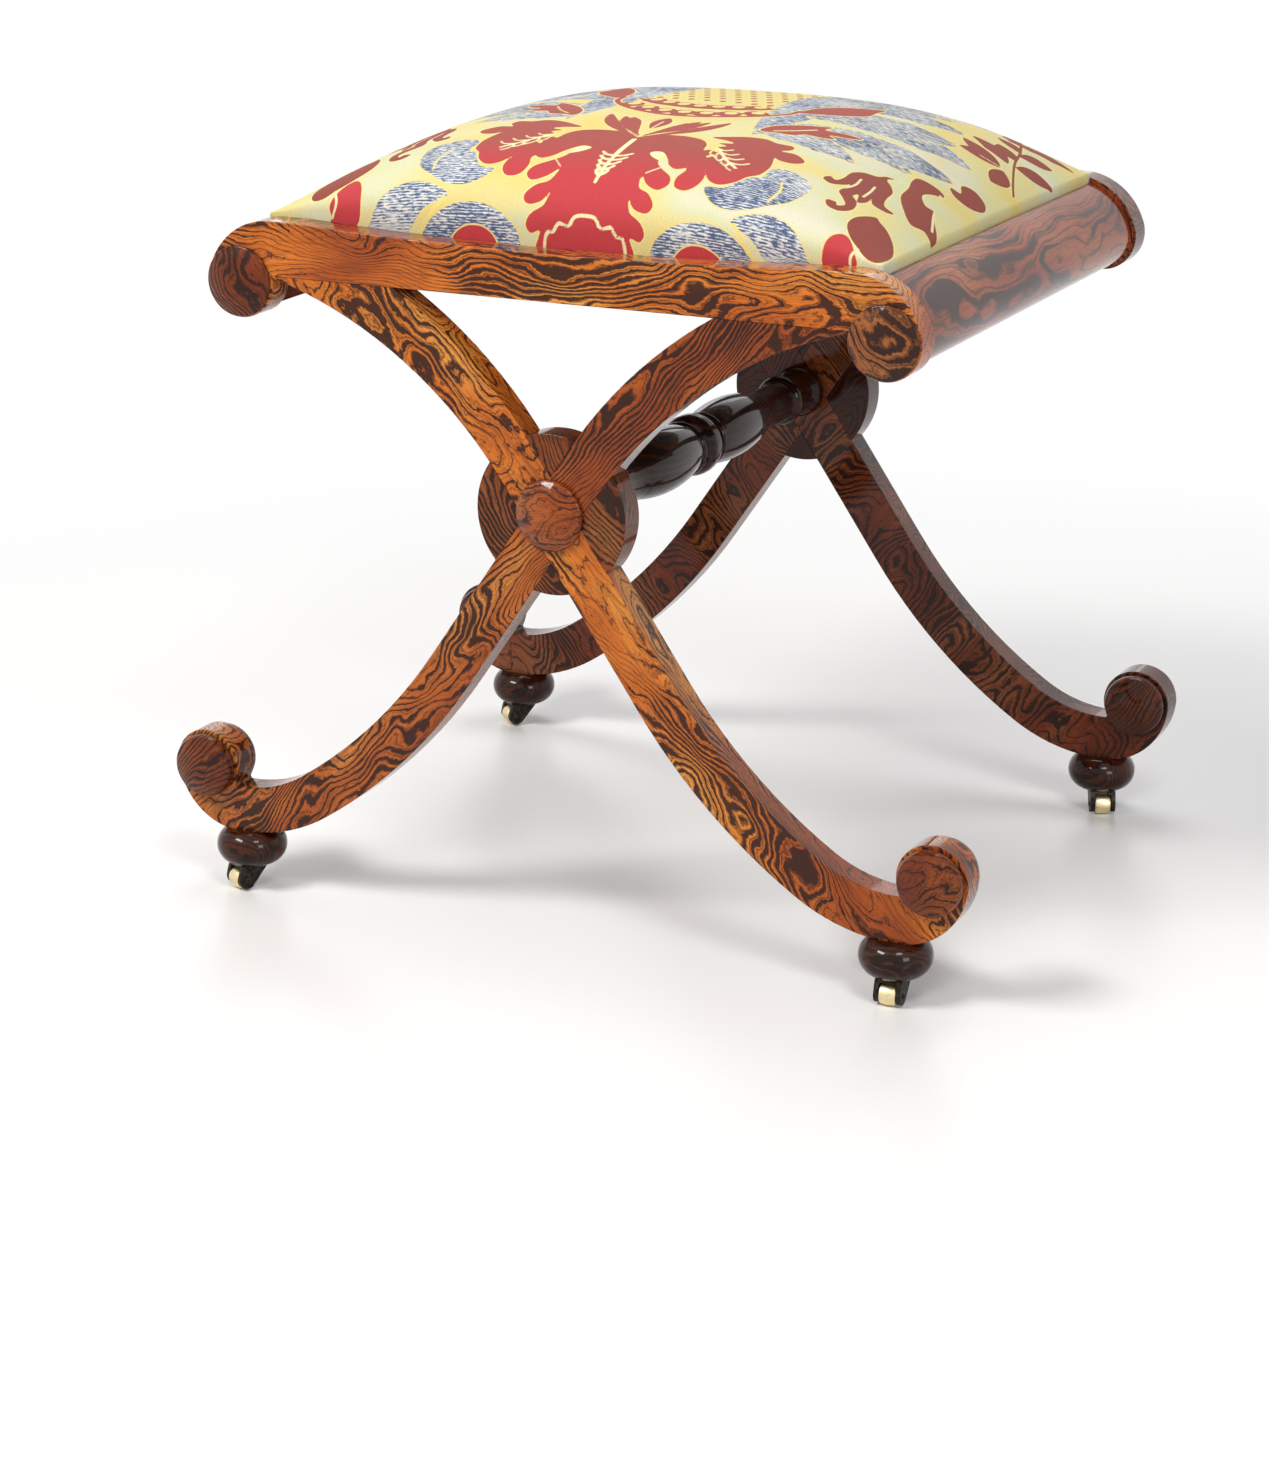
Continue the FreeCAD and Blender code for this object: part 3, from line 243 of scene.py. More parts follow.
def rosewood(name, turn, shift, painted_light_level, plenty, red, figure=1.0):
    """Figured rosewood under polish.

    turn is the board's turn, shift its place in the log, the light level a darkening of the whole piece
    that is painted shade for the pieces at the back and underneath, plenty the share of dark figure,
    figure how far the rings swirl, and red draws the orange ground towards the browner, darker red
    painted on the shaded pieces as part of that painted shade.
    """
    g = Graph(name)
    board = g.add("Mapping", {"Vector": g.place(), "Location": shift, "Rotation": turn})
    rings = growth_rings(g, board, figure)

    patches = grained(g, board, 14.0, 30.0, 2.0, 0.5)
    middle = 0.75 - 0.5 * plenty
    edge = g.ramp(patches, [(0.36, middle + 0.33), (0.50, middle + 0.12), (0.64, middle - 0.20)])
    broad = ring_lines(g, rings, edge, 0.20)
    fine_edge = g.ramp(patches, [(0.34, 0.80), (0.6, 0.50)])
    fine = ring_lines(g, g.times(rings, FINE_LINES), fine_edge, 0.3)
    dark = g.math("MAXIMUM", broad, g.times(fine, 0.75))
    streaks = g.ramp(grained(g, board, 26.0, 420.0, 2.0, 0.6), [(0.52, 0.0), (0.72, 0.8)])
    dark = g.math("MAXIMUM", dark, g.times(streaks, 0.55), clamp=True)

    # The ground's level, lowered as painted shade by the piece's light level and further by its redness
    shade = GROUND_SHADE * painted_light_level * (1 - RED_PAINTED_SHADE * red)
    hue = grained(g, board, 8.0, 22.0, 2.0, 0.5)
    stops = [(place, tinted(between(plain, redder, red), shade)) for place, plain, redder in GROUND]
    fibre = grained(g, board, 30.0, 900.0, 2.0, 0.6)
    ground = g.mix(0.35, g.ramp(hue, stops), g.ramp(fibre, [(0.3, 0.35), (0.65, 1.0)]), "MULTIPLY")
    halo = ring_lines(g, rings, g.minus(edge, 0.45), 0.7)
    ground = g.mix(g.times(halo, 0.38), ground, paint(tinted(HALO, shade)))
    colour = g.mix(g.times(dark, 0.95), ground, paint(tinted(FIGURE, math.sqrt(painted_light_level))))
    pores = g.ramp(grained(g, board, 75.0, 1500.0, 1.0, 0.5), [(0.60, 0.0), (0.68, 1.0)])
    colour = g.mix(g.times(pores, 0.5), colour, paint(tinted(PORES, painted_light_level)))

    roughness = g.ramp(g.noise(g.place(), 9.0, 3.0, 0.6), [(0.3, 0.30), (0.7, 0.50)])
    normal = g.bump(g.minus(fibre, pores), 0.10, 0.0004)
    polish = {"Coat_Weight": 1.0, "Coat_Roughness": 0.07, "Coat_IOR": 1.28, "Specular_IOR_Level": 0.05}
    return g.finish(colour, roughness, normal, **polish)


def metal(name, light, dark, roughness, grime):
    """Worn metal: patches of tarnish over a rubbed surface."""
    g = Graph(name)
    patches = g.noise(g.place(), 420.0, 4.0, 0.65)
    scratches = g.noise(g.scaled(g.place(), (2400.0, 2400.0, 300.0)), 1.0, 2.0, 0.6)
    colour = g.mix(g.ramp(patches, [(grime, 0.0), (grime + 0.2, 1.0)]), paint(light), paint(dark))
    worn = g.ramp(scratches, [(0.3, roughness * 0.7), (0.7, roughness * 1.4)])
    normal = g.bump(g.plus(patches, scratches), 0.25, 0.0002)
    return g.finish(colour, worn, normal, Metallic=0.9)


def plain_wood(name):
    """Planed beech with its small flecks."""
    g = Graph(name)
    place = g.place()
    bands = g.noise(g.scaled(place, (9.0, 120.0, 120.0)), 1.0, 3.0, 0.6)
    flecks = g.noise(g.scaled(place, (380.0, 2200.0, 2200.0)), 1.0, 1.0, 0.5)
    flecks = g.ramp(flecks, [(0.60, 0.0), (0.70, 1.0)])
    colour = g.ramp(bands, [(0.3, rgb(168, 126, 84)), (0.7, rgb(205, 166, 120))])
    colour = g.mix(g.times(flecks, 0.5), colour, paint(rgb(132, 88, 52)))
    return g.finish(colour, 0.62, g.bump(bands, 0.15, 0.0003))


def plain_weave(name, light, dark, threads):
    """A plain cloth: threads cross under and over at a number of threads for each metre."""
    g = Graph(name)
    parts = g.tree.nodes.new("ShaderNodeSeparateXYZ")
    g.feed(parts.inputs[0], g.place())
    turn = threads * 2 * math.pi
    waves = [g.math("SINE", g.times(parts.outputs[axis], turn)) for axis in (0, 1)]
    weave = g.times(waves[0], waves[1])
    slub = g.noise(g.scaled(g.place(), (60.0, 900.0, 60.0)), 1.0, 3.0, 0.6)
    shade = g.plus(g.times(weave, 0.25), slub)
    colour = g.ramp(shade, [(0.2, dark), (0.75, light)])
    return g.finish(colour, 0.9, g.bump(weave, 0.5, 0.0005), Sheen_Weight=0.2, Sheen_Roughness=0.5)


def assign(material, *names):
    for name in names:
        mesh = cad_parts[name].data
        mesh.materials.clear()
        mesh.materials.append(material)


# Ways that the grain runs, and how little it swirls on the end rails and the stretcher
LEG_GRAIN = math.radians(50.0)
ALONG_X = (0.0, 0.0, 0.0)
ALONG_Y = (0.0, 0.0, math.radians(90))
FALLING = (0.0, -LEG_GRAIN, 0.0)
RISING = (0.0, LEG_GRAIN, 0.0)
STRAIGHT_FIGURE = 0.22

# Each piece's grain, place in the log, painted light level (lower at the back and underneath, as painted
# shade), share of dark figure and redness
CUTS = (
    ("front_rail", ALONG_X, (0.31, 0.17, 0.02), 1.0, 0.55, 0.0),
    ("rear_rail", ALONG_X, (1.90, 0.31, 0.40), 0.40, 0.6, 0.5),
    ("front_through_leg", FALLING, (0.62, 0.44, 0.13), 0.95, 0.55, 0.0),
    ("front_lapped_leg", RISING, (2.13, 0.07, 0.55), 0.80, 0.75, 0.15),
    ("rear_lapped_leg", RISING, (3.10, 0.60, 0.21), 0.38, 0.6, 0.6),
    ("rear_through_leg", FALLING, (4.10, 0.20, 0.71), 0.38, 0.6, 0.6),
    ("front_disc_segments", FALLING, (5.40, 0.10, 0.37), 0.42, 0.9, 0.3),
    ("rear_disc_segments", RISING, (6.20, 0.30, 0.17), 0.16, 0.6, 0.6),
    ("left_end_rail", ALONG_Y, (0.10, 1.20, 0.30), 0.66, 0.22, 0.6),
    ("right_end_rail", ALONG_Y, (0.70, 2.30, 0.36), 0.66, 0.22, 0.6),
    ("stretcher", ALONG_Y, (0.25, 0.40, 0.90), 0.09, 0.6, 0.6),
)

# The turned pieces' painted light level at each end, lower at the rear as painted shade, and how far apart
# the two ends' pieces lie in the log
TURNED_PAINTED_LIGHT = {"front": 0.62, "rear": 0.38}
END_STEP = 0.37
# The bun feet under the scrolls take a low light level: painted shade
BUN_PAINTED_LIGHT = 0.13


def finish_boards():
    """Gives each board of the frame its own cut of the log, with painted shade that darkens the boards at
    the back and underneath.
    """
    for name, turn, shift, painted_light_level, plenty, red in CUTS:
        figure = STRAIGHT_FIGURE if turn == ALONG_Y else 1.0
        assign(rosewood(f"{name}_wood", turn, shift, painted_light_level, plenty, red, figure), name)


def finish_turnings():
    """Bosses, roundels and bun feet, each from its own place in the log, with painted shade at the rear end
    and on the bun feet.
    """
    for number, (end, painted_light_level) in enumerate(TURNED_PAINTED_LIGHT.items()):
        far = END_STEP * number
        log = (1.31 + far, 0.12, 0.05)
        centre = rosewood(f"{end}_centre_wood", ALONG_X, log, painted_light_level, plenty=0.35, red=0.4)
        assign(centre, f"{end}_centre_boss")
        for step, side in enumerate(("left", "right")):
            corner = f"{end}_{side}"
            log = (2.70 + far + 0.23 * step, 0.61, 0.44)
            # The roundels and scroll bosses take a lower light level than their end's
            roundel = rosewood(f"{corner}_roundel_wood", FALLING, log, painted_light_level * 0.8, plenty=0.6, red=0.4)
            assign(roundel, f"{corner}_roundel")
            log = (3.35 + far + 0.29 * step, 0.21, 0.84)
            scroll = rosewood(f"{corner}_scroll_wood", RISING, log, painted_light_level * 0.7, plenty=0.6, red=0.4)
            assign(scroll, f"{corner}_outer_scroll_boss", f"{corner}_inner_scroll_boss")
            log = (4.45 + far + 0.31 * step, 0.50, 0.14)
            bun = rosewood(f"{corner}_bun_wood", ALONG_X, log, BUN_PAINTED_LIGHT, plenty=0.7, red=0.6)
            assign(bun, f"{corner}_bun_foot")


def finish_hidden_and_metal():
    """Castors, plates, screws and tacks in metal, and the hidden pieces in beech."""
    iron = metal("castor_iron", rgb(60, 54, 48), rgb(24, 21, 19), 0.42, 0.4)
    brass = metal("castor_brass", rgb(232, 214, 170), rgb(150, 122, 76), 0.34, 0.6)
    steel = metal("blued_steel", rgb(96, 92, 88), rgb(46, 42, 40), 0.4, 0.45)
    for end in ("front", "rear"):
        for side in ("left", "right"):
            assign(iron, f"{end}_{side}_castor_fork", f"{end}_{side}_castor_axle")
            assign(brass, f"{end}_{side}_castor_wheel")
    assign(iron, "castor_plates", "castor_plate_screws")
    assign(steel, "bearer_screws", "seat_tacks")
    beech = plain_wood("beech")
    assign(beech, "arm_dowels", "front_bearer", "rear_bearer", "left_bearer", "right_bearer")
    assign(beech, "slip_front", "slip_rear", "slip_left", "slip_right")


# The seat's form
GRID_STEP = 4.5 * MM
GRID_CROWDING = 0.86
CROWN_CAP = 5.0 * MM
CROWN_REST = 0.94
LONG_FULLNESS, LONG_ROUNDING = 3.4, 0.94
SHORT_FULLNESS, SHORT_ROUNDING = 1.95, 0.30

# How far the edges pull in between the corners, as a share, and how close to an edge
DRAWN_IN = 0.006
DRAWN_NEARNESS = 12

# Rings of points down the cover's sides, as shares of their height
SKIRT_LEVELS = (0.33, 0.66, 0.95, 1.0)

# The cover's turn under the slip frame: its first fold, its reach and its clearance
UNDER_FOLD = 1.0 * MM
TURNED_UNDER = 13.0 * MM
SKIN_CLEARANCE = 0.1 * MM

# The stuffing's swell: the cloth is held up to this height over its edge, for this many steps
HELD_BAND = 0.5 * MM
SWELL_STEPS = 20
CLOTH = {
    "quality": 6,
    "use_pressure": True,
    "uniform_pressure_force": 4.0,
    "tension_stiffness": 12,
    "bending_stiffness": 0.8,
    "vertex_group_mass": "held",
}
TINY = 1e-9


def crown_height(across, along):
    """The crown's height over its edge, by shares of the half length and half depth."""
    long_way = np.clip(1 - np.abs(across) ** LONG_FULLNESS, 0, 1) ** LONG_ROUNDING
    short_way = np.clip(1 - np.abs(along) ** SHORT_FULLNESS, 0, 1) ** SHORT_ROUNDING
    return CROWN * long_way * short_way


def drawn_in(across, along):
    """How much of its reach an edge keeps: less midway between the corners."""
    return 1 - DRAWN_IN * (1 - np.abs(along)) * np.abs(across) ** DRAWN_NEARNESS


def crowded(half, crowding):
    """Places from -1 to 1 over a length, in an even number of steps that shorten to the ends."""
    steps = round(2 * half / GRID_STEP / 2) * 2
    reach = math.pi / 2 * crowding
    return np.sin(np.linspace(-1, 1, steps + 1) * reach) / math.sin(reach)


def face_grid(shape, points):
    """Faces over a grid of points."""
    for near, far in zip(points, points[1:]):
        for j in range(len(near) - 1):
            shape.faces.new((near[j], far[j], far[j + 1], near[j + 1]))


def rim_of(points):
    """The closed ring of points round a grid."""
    rim = [row[0] for row in points[:-1]] + points[-1][:-1]
    return rim + [row[-1] for row in points[:0:-1]] + points[0][:0:-1]


def face_ring(shape, upper, lower):
    """Faces between two closed rings of points."""
    for n, point in enumerate(upper):
        after = (n + 1) % len(upper)
        shape.faces.new((point, lower[n], lower[after], upper[after]))


def shape_object(shape, name):
    """Makes an object of a shape."""
    mesh = bpy.data.meshes.new(name)
    shape.to_mesh(mesh)
    shape.free()
    return add_object(name, mesh)


def seat_shell(name, rise):
    """A shell of the seat, open below: the crown, its sides and their turn under the slip frame."""
    across = crowded(HALF_LENGTH, GRID_CROWDING)
    along = crowded(HALF_DEPTH, 1.0)
    u, v = np.meshgrid(across, along, indexing="ij")
    x = u * HALF_LENGTH * drawn_in(u, v)
    y = v * HALF_DEPTH * drawn_in(v, u)
    z = EDGE_HEIGHT + crown_height(u, v) * rise
    shape = bmesh.new()
    top = [[shape.verts.new(point) for point in zip(*row)] for row in zip(x, y, z)]
    face_grid(shape, top)
    rim = previous = rim_of(top)
    for level in SKIRT_LEVELS:
        height = EDGE_HEIGHT + (COVER_LOW.z - EDGE_HEIGHT) * level
        skirt = [shape.verts.new((point.co.x, point.co.y, height)) for point in rim]
        face_ring(shape, previous, skirt)
        previous = skirt
    for inset in (UNDER_FOLD, TURNED_UNDER):
        share_x = 1 - inset / HALF_LENGTH
        share_y = 1 - inset / HALF_DEPTH
        under = [shape.verts.new((p.co.x * share_x, p.co.y * share_y, COVER_LOW.z)) for p in rim]
        face_ring(shape, previous, under)
        previous = under
    bmesh.ops.recalc_face_normals(shape, faces=shape.faces)
    if top[0][0].link_faces[0].normal.z < 0:
        bmesh.ops.reverse_faces(shape, faces=shape.faces)
    return shape_object(shape, name), u.shape


def coordinates(mesh):
    flat = np.empty(len(mesh.vertices) * 3)
    mesh.vertices.foreach_get("co", flat)
    return flat.reshape(-1, 3)


def store(mesh, name, values):
    layer = mesh.attributes.new(name, "FLOAT", "POINT")
    layer.data.foreach_set("value", np.ascontiguousarray(values, dtype=np.float32))


def inflate(seat):
    """Swells the cover as its stuffing does, held at its edges, and brings it to the crown's height."""
    mesh = seat.data
    rest = coordinates(mesh)
    held = rest[:, 2] < EDGE_HEIGHT + HELD_BAND
    group = seat.vertex_groups.new(name="held")
    group.add([int(n) for n in np.nonzero(held)[0]], 1.0, "REPLACE")
    cloth = seat.modifiers.new("cloth", "CLOTH")
    for name, value in CLOTH.items():
        setattr(cloth.settings, name, value)
    cloth.settings.effector_weights.gravity = 0.0
    cloth.collision_settings.use_collision = False
    cloth.point_cache.frame_start = 1
    cloth.point_cache.frame_end = SWELL_STEPS
    scene = bpy.context.scene
    for number in range(1, SWELL_STEPS + 1):
        scene.frame_set(number)
    swollen = seat.evaluated_get(bpy.context.evaluated_depsgraph_get()).to_mesh()
    moved = coordinates(swollen) - rest
    seat.modifiers.remove(cloth)
    seat.vertex_groups.clear()
    scene.frame_set(1)
    length = np.linalg.norm(moved, axis=1, keepdims=True)
    moved *= np.minimum(1.0, CROWN_CAP / np.maximum(length, TINY))
    shaped = rest + moved
    above = np.clip(shaped[:, 2] - EDGE_HEIGHT, 0, None)
    shaped[:, 2] += above * (CROWN / above.max() - 1)
    limit = np.array([HALF_LENGTH, HALF_DEPTH])
    shaped[:, :2] = np.clip(shaped[:, :2], -limit, limit)
    mesh.vertices.foreach_set("co", shaped.ravel())
    mesh.update()


def cloth_lengths(mesh, size):
    """How far each point of the crown lies from its middle, measured along the cloth, in millimetres."""
    columns, rows = size
    top = coordinates(mesh)[:columns * rows].reshape(columns, rows, 3)
    steps_x = np.linalg.norm(np.diff(top, axis=0), axis=2)
    steps_y = np.linalg.norm(np.diff(top, axis=1), axis=2)
    s = np.concatenate([np.zeros((1, rows)), np.cumsum(steps_x, axis=0)], axis=0)
    t = np.concatenate([np.zeros((columns, 1)), np.cumsum(steps_y, axis=1)], axis=1)
    s -= s[columns // 2][None, :]
    t -= t[:, rows // 2][:, None]
    return s / MM, t / MM


# A point this far out, as a share of the half depth, is on the front or rear side
SIDE_SHARE = 0.98


def spread(mesh, size, s, t):
    """Stores the cloth's own coordinates on every point, carried straight down over the sides."""
    place = coordinates(mesh)
    count = size[0] * size[1]
    whole_s = place[:, 0] / MM
    whole_t = place[:, 1] / MM
    whole_s[:count] = s.ravel()
    whole_t[:count] = t.ravel()
    below = np.clip(EDGE_HEIGHT - place[count:, 2], 0, None) / MM
    sides = np.abs(place[count:, 1]) > HALF_DEPTH * SIDE_SHARE
    reach_t = np.abs(t[size[0] // 2, 0])
    reach_s = np.abs(s[0, size[1] // 2])
    whole_t[count:] = np.where(sides, np.sign(place[count:, 1]) * (reach_t + below), whole_t[count:])
    whole_s[count:] = np.where(sides, whole_s[count:], np.sign(place[count:, 0]) * (reach_s + below))
    store(mesh, "cloth_s", whole_s)
    store(mesh, "cloth_t", whole_t)


def subdivide(seat, levels):
    modifier = seat.modifiers.new("smooth", "SUBSURF")
    modifier.levels = modifier.render_levels = levels
    depsgraph = bpy.context.evaluated_depsgraph_get()
    smooth = bpy.data.meshes.new_from_object(seat.evaluated_get(depsgraph))
    seat.modifiers.remove(modifier)
    seat.data = smooth
    smooth.shade_smooth()


def line_with_cloth(mesh):
    """Closes the cover from below: over the slip frame, up inside its skirt and across the stuffing."""
    shape = bmesh.new()
    shape.from_mesh(mesh)
    skin = HALF_LENGTH - CLOTH_HIGH.x - SKIN_CLEARANCE
    over = SLIP_BOTTOM - SKIN_CLEARANCE
    edges = [edge for edge in shape.edges if edge.is_boundary]
    inset = TURNED_UNDER
    for next_inset, height in ((TURNED_UNDER, over), (skin, over), (skin, CLOTH_HIGH.z + SKIN_CLEARANCE)):
        made = bmesh.ops.extrude_edge_only(shape, edges=edges)["geom"]
        edges = [part for part in made if isinstance(part, bmesh.types.BMEdge)]
        for point in (part for part in made if isinstance(part, bmesh.types.BMVert)):
            point.co.x *= (HALF_LENGTH - next_inset) / (HALF_LENGTH - inset)
            point.co.y *= (HALF_DEPTH - next_inset) / (HALF_DEPTH - inset)
            point.co.z = height
        inset = next_inset
        edges = [edge for edge in edges if edge.is_boundary]
    bmesh.ops.holes_fill(shape, edges=edges, sides=0)
    bmesh.ops.recalc_face_normals(shape, faces=shape.faces)
    shape.to_mesh(mesh)
    shape.free()


# The woven pattern, in millimetres on the flat cloth: s to the right, t to the back.
# It is drawn on the right of its middle line and mirrored.
MIDDLE = 12.0


def smooth_outline(points, closed=True, steps=7):
    """A smooth line through points given as s, t pairs."""
    p = np.array(points, dtype=float)
    count = len(p)
    f = np.linspace(0, 1, steps, endpoint=False)[:, None]
    runs = []
    for n in range(count if closed else count - 1):
        a, b, c, d = (
            (p[(n + k) % count] for k in (-1, 0, 1, 2)) if closed
            else (p[min(max(n + k, 0), count - 1)] for k in (-1, 0, 1, 2))
        )
        bend = 2 * a - 5 * b + 4 * c - d
        twist = 3 * b - a - 3 * c + d
        runs.append(0.5 * (2 * b + (c - a) * f + bend * f**2 + twist * f**3))
    if not closed:
        runs.append(p[-1:])
    return np.vstack(runs)


# A leaf's outline: points along it, points for each lobe, and how blunt its swell and its cuts are
LEAF_POINTS = 14
LOBE_POINTS = 8
SWELL_BLUNTNESS = 0.8
CUT_BLUNTNESS = 0.6


def sideways(along):
    """A unit step to the left of a direction."""
    return np.array([-along[1], along[0]]) / np.linalg.norm(along)


def leaf(base, tip, width, bend=0.0, lobes=0, depth=0.0, fullness=1.0):
    """A leaf's outline: a bent spine with a swelling width, and lobes cut in its sides."""
    base, tip = np.array(base, float), np.array(tip, float)
    along = tip - base
    side = sideways(along)
    f = np.linspace(0, 1, LEAF_POINTS + lobes * LOBE_POINTS)
    spine = base + f[:, None] * along + (4 * bend * f * (1 - f))[:, None] * side
    swell = np.sin(math.pi * f**fullness) ** SWELL_BLUNTNESS
    cut = 1 - depth * np.abs(np.sin(math.pi * lobes * f)) ** CUT_BLUNTNESS if lobes else 1.0
    half = (width / 2 * swell * cut)[:, None]
    return np.vstack([spine + half * side, (spine - half * side)[::-1]])


def ring(centre, radius, squash=1.0, steps=28):
    angle = np.linspace(0, 2 * math.pi, steps, endpoint=False)
    return np.array(centre) + np.stack([np.cos(angle) * radius, np.sin(angle) * radius * squash], 1)


def square_gap(points, start, end):
    """The square of each point's distance from a straight run."""
    run = end - start
    share = np.clip(((points - start) @ run) / max(run @ run, TINY), 0, 1)
    gap = points - (start + share[:, None] * run)
    return (gap**2).sum(1)


def depth_in_line(line, half_width, points):
    """How deep each point lies in a line of some width, in millimetres, negative outside."""
    nearest = np.full(len(points), np.inf)
    for a, b in zip(line[:-1], line[1:]):
        nearest = np.minimum(nearest, square_gap(points, a, b))
    return half_width - np.sqrt(nearest)


def depth_inside(outline, points):
    """How deep each point lies in a closed outline, in millimetres, negative outside."""
    closed = np.vstack([outline, outline[:1]])
    inside = np.zeros(len(points), dtype=bool)
    for a, b in zip(closed[:-1], closed[1:]):
        crosses = (a[1] > points[:, 1]) != (b[1] > points[:, 1])
        rise = (b[1] - a[1]) if abs(b[1] - a[1]) > TINY else TINY
        inside ^= crosses & (points[:, 0] < (b[0] - a[0]) * (points[:, 1] - a[1]) / rise + a[0])
    gap = -depth_in_line(closed, 0.0, points)
    return np.where(inside, gap, -gap)


class Layer:
    """One colour of the pattern, kept as the depth of each point inside its shapes."""

    FAR = -6.0

    def __init__(self, points):
        self.points = points
        self.depth = np.full(len(points), self.FAR)

    def near(self, shape, margin):
        low, high = shape.min(0) - margin, shape.max(0) + margin
        return np.nonzero(np.all((self.points > low) & (self.points < high), axis=1))[0]

    def combine(self, where, depth, cut=False):
        if cut:
            self.depth[where] = np.minimum(self.depth[where], -depth)
        else:
            self.depth[where] = np.maximum(self.depth[where], depth)

    def shape(self, outline, both=True, cut=False):
        for version in mirrored(outline, both):
            where = self.near(version, -self.FAR)
            self.combine(where, depth_inside(version, self.points[where]), cut)

    def patch(self, points, steps=7, both=True):
        """A shape with a smooth outline through some points."""
        self.shape(smooth_outline(points, steps=steps), both)

    def leaf(self, *form, both=True, **bends):
        self.shape(leaf(*form, **bends), both)

    def line(self, points, width, both=True, smooth=True):
        drawn = smooth_outline(points, closed=False) if smooth else np.array(points, float)
        for version in mirrored(drawn, both):
            where = self.near(version, width / 2 - self.FAR)
            self.combine(where, depth_in_line(version, width / 2, self.points[where]))


def mirrored(outline, both):
    outline = np.asarray(outline, dtype=float)
    if not both:
        return [outline]
    other = outline.copy()
    other[:, 0] = 2 * MIDDLE - other[:, 0]
    return [outline, other]


def both_sides(half):
    """A line round a form that is alike on both sides, from its right half as distances and t."""
    right = [(MIDDLE + away, t) for away, t in half]
    left = [(MIDDLE - away, t) for away, t in half[::-1] if away > 0]
    return right + left


def flower(red, vein):
    """The large palmette: a lobed tongue, rolled shoulders and side leaves, with their veins."""
    red.patch(both_sides([
        (0, -100), (5, -96), (14, -92), (26, -91), (37, -94), (43, -101), (45, -110), (48, -108),
        (54, -112), (50, -118), (56, -121), (63, -124), (54, -126), (48, -128), (47, -134), (41, -138),
        (35, -134), (31, -127), (27, -124), (28, -133), (34, -140), (41, -146), (43, -153), (38, -158),
        (30, -154), (25, -147), (27, -157), (34, -161), (39, -168), (36, -173), (28, -171), (24, -165),
        (26, -173), (33, -178), (36, -184), (33, -189), (27, -187), (30, -197), (28, -206), (0, -208),
    ]), steps=4, both=False)
    red.patch([
        (52, -88), (60, -83), (70, -78), (80, -76), (88, -79), (97, -78), (99, -84), (95, -90),
        (104, -89), (112, -96), (108, -103), (100, -104), (96, -101), (98, -108), (100, -117), (99, -128),
        (94, -134), (90, -142), (83, -147), (76, -145), (71, -138), (69, -134), (72, -143), (71, -151),
        (66, -156), (59, -154), (57, -146), (59, -138), (57, -131), (60, -126), (64, -120), (66, -110),
        (62, -103), (66, -99), (60, -96), (68, -93), (62, -90),
    ], steps=5)
    vein.line([(12, -104), (12, -126)], 3.2, both=False)
    vein.line([(12, -122), (12, -156)], 2.2, both=False)
    for n, reach in enumerate((9.0, 8.0, 6.5, 5.0, 3.5)):
        low = -128 - 5.2 * n
        vein.line([(12, low - 1.5), (12 + reach * 0.6, low), (12 + reach, low + 3.0)], 2.0)
    vein.patch([(30, -121), (36, -119), (41, -124), (46, -133), (41, -131), (34, -127)], steps=4)
    vein.line([(59, -101), (67, -109), (74, -118), (84, -127)], 1.9)
    for n in range(4):
        start = 61 + 5.4 * n
        vein.line([(start, -103 - 6.0 * n), (start + 7, -106 - 5.2 * n), (start + 11, -103 - 5.0 * n)], 1.5)
        vein.line([(start, -105 - 6.0 * n), (start + 1.5, -113 - 5.0 * n), (start + 5, -117 - 4.5 * n)], 1.4)
    edging = both_sides([(0, -177), (6, -178), (10, -183), (16, -182), (19, -187), (23, -188), (25, -198)])
    vein.line(edging[7:] + edging[:7], 2.0, both=False)
    vein.line([(44, -138), (38, -145)], 1.2)


def spray(red, vein):
    """The narrow leaves above the palmette and the flower stalk between them."""
    red.leaf((13, -98), (50, -54), 8.0, bend=-6.0, fullness=1.5)
    red.leaf((12, -96), (39, -58), 7.0, bend=-3.0, fullness=1.4)
    red.leaf((12, -98), (27, -64), 6.5, bend=-3.0, fullness=1.3)
    red.leaf((12, -84), (12, -57), 11.0, fullness=1.2, both=False)
    red.patch([(27, -66), (33, -60), (33, -66), (30, -72)], steps=4)
    vein.line([(12, -84), (12, -66)], 1.4, both=False)
    red.patch([
        (70, -62), (70, -52), (76, -42), (84, -34), (94, -26), (98, -23), (97, -32), (108, -28),
        (118, -26), (112, -34), (103, -40), (108, -44), (101, -49), (93, -51), (88, -58), (79, -60),
    ], steps=5)
    vein.line([(76, -58), (86, -48), (94, -36)], 1.5)
    red.patch([
        (70, -4), (70, 14), (78, 34), (88, 50), (96, 60), (97, 44), (98, 28), (90, 12), (80, 2),
    ])
    red.patch([(28, 152), (34, 158), (52, 160), (62, 150), (48, 148), (38, 146)])


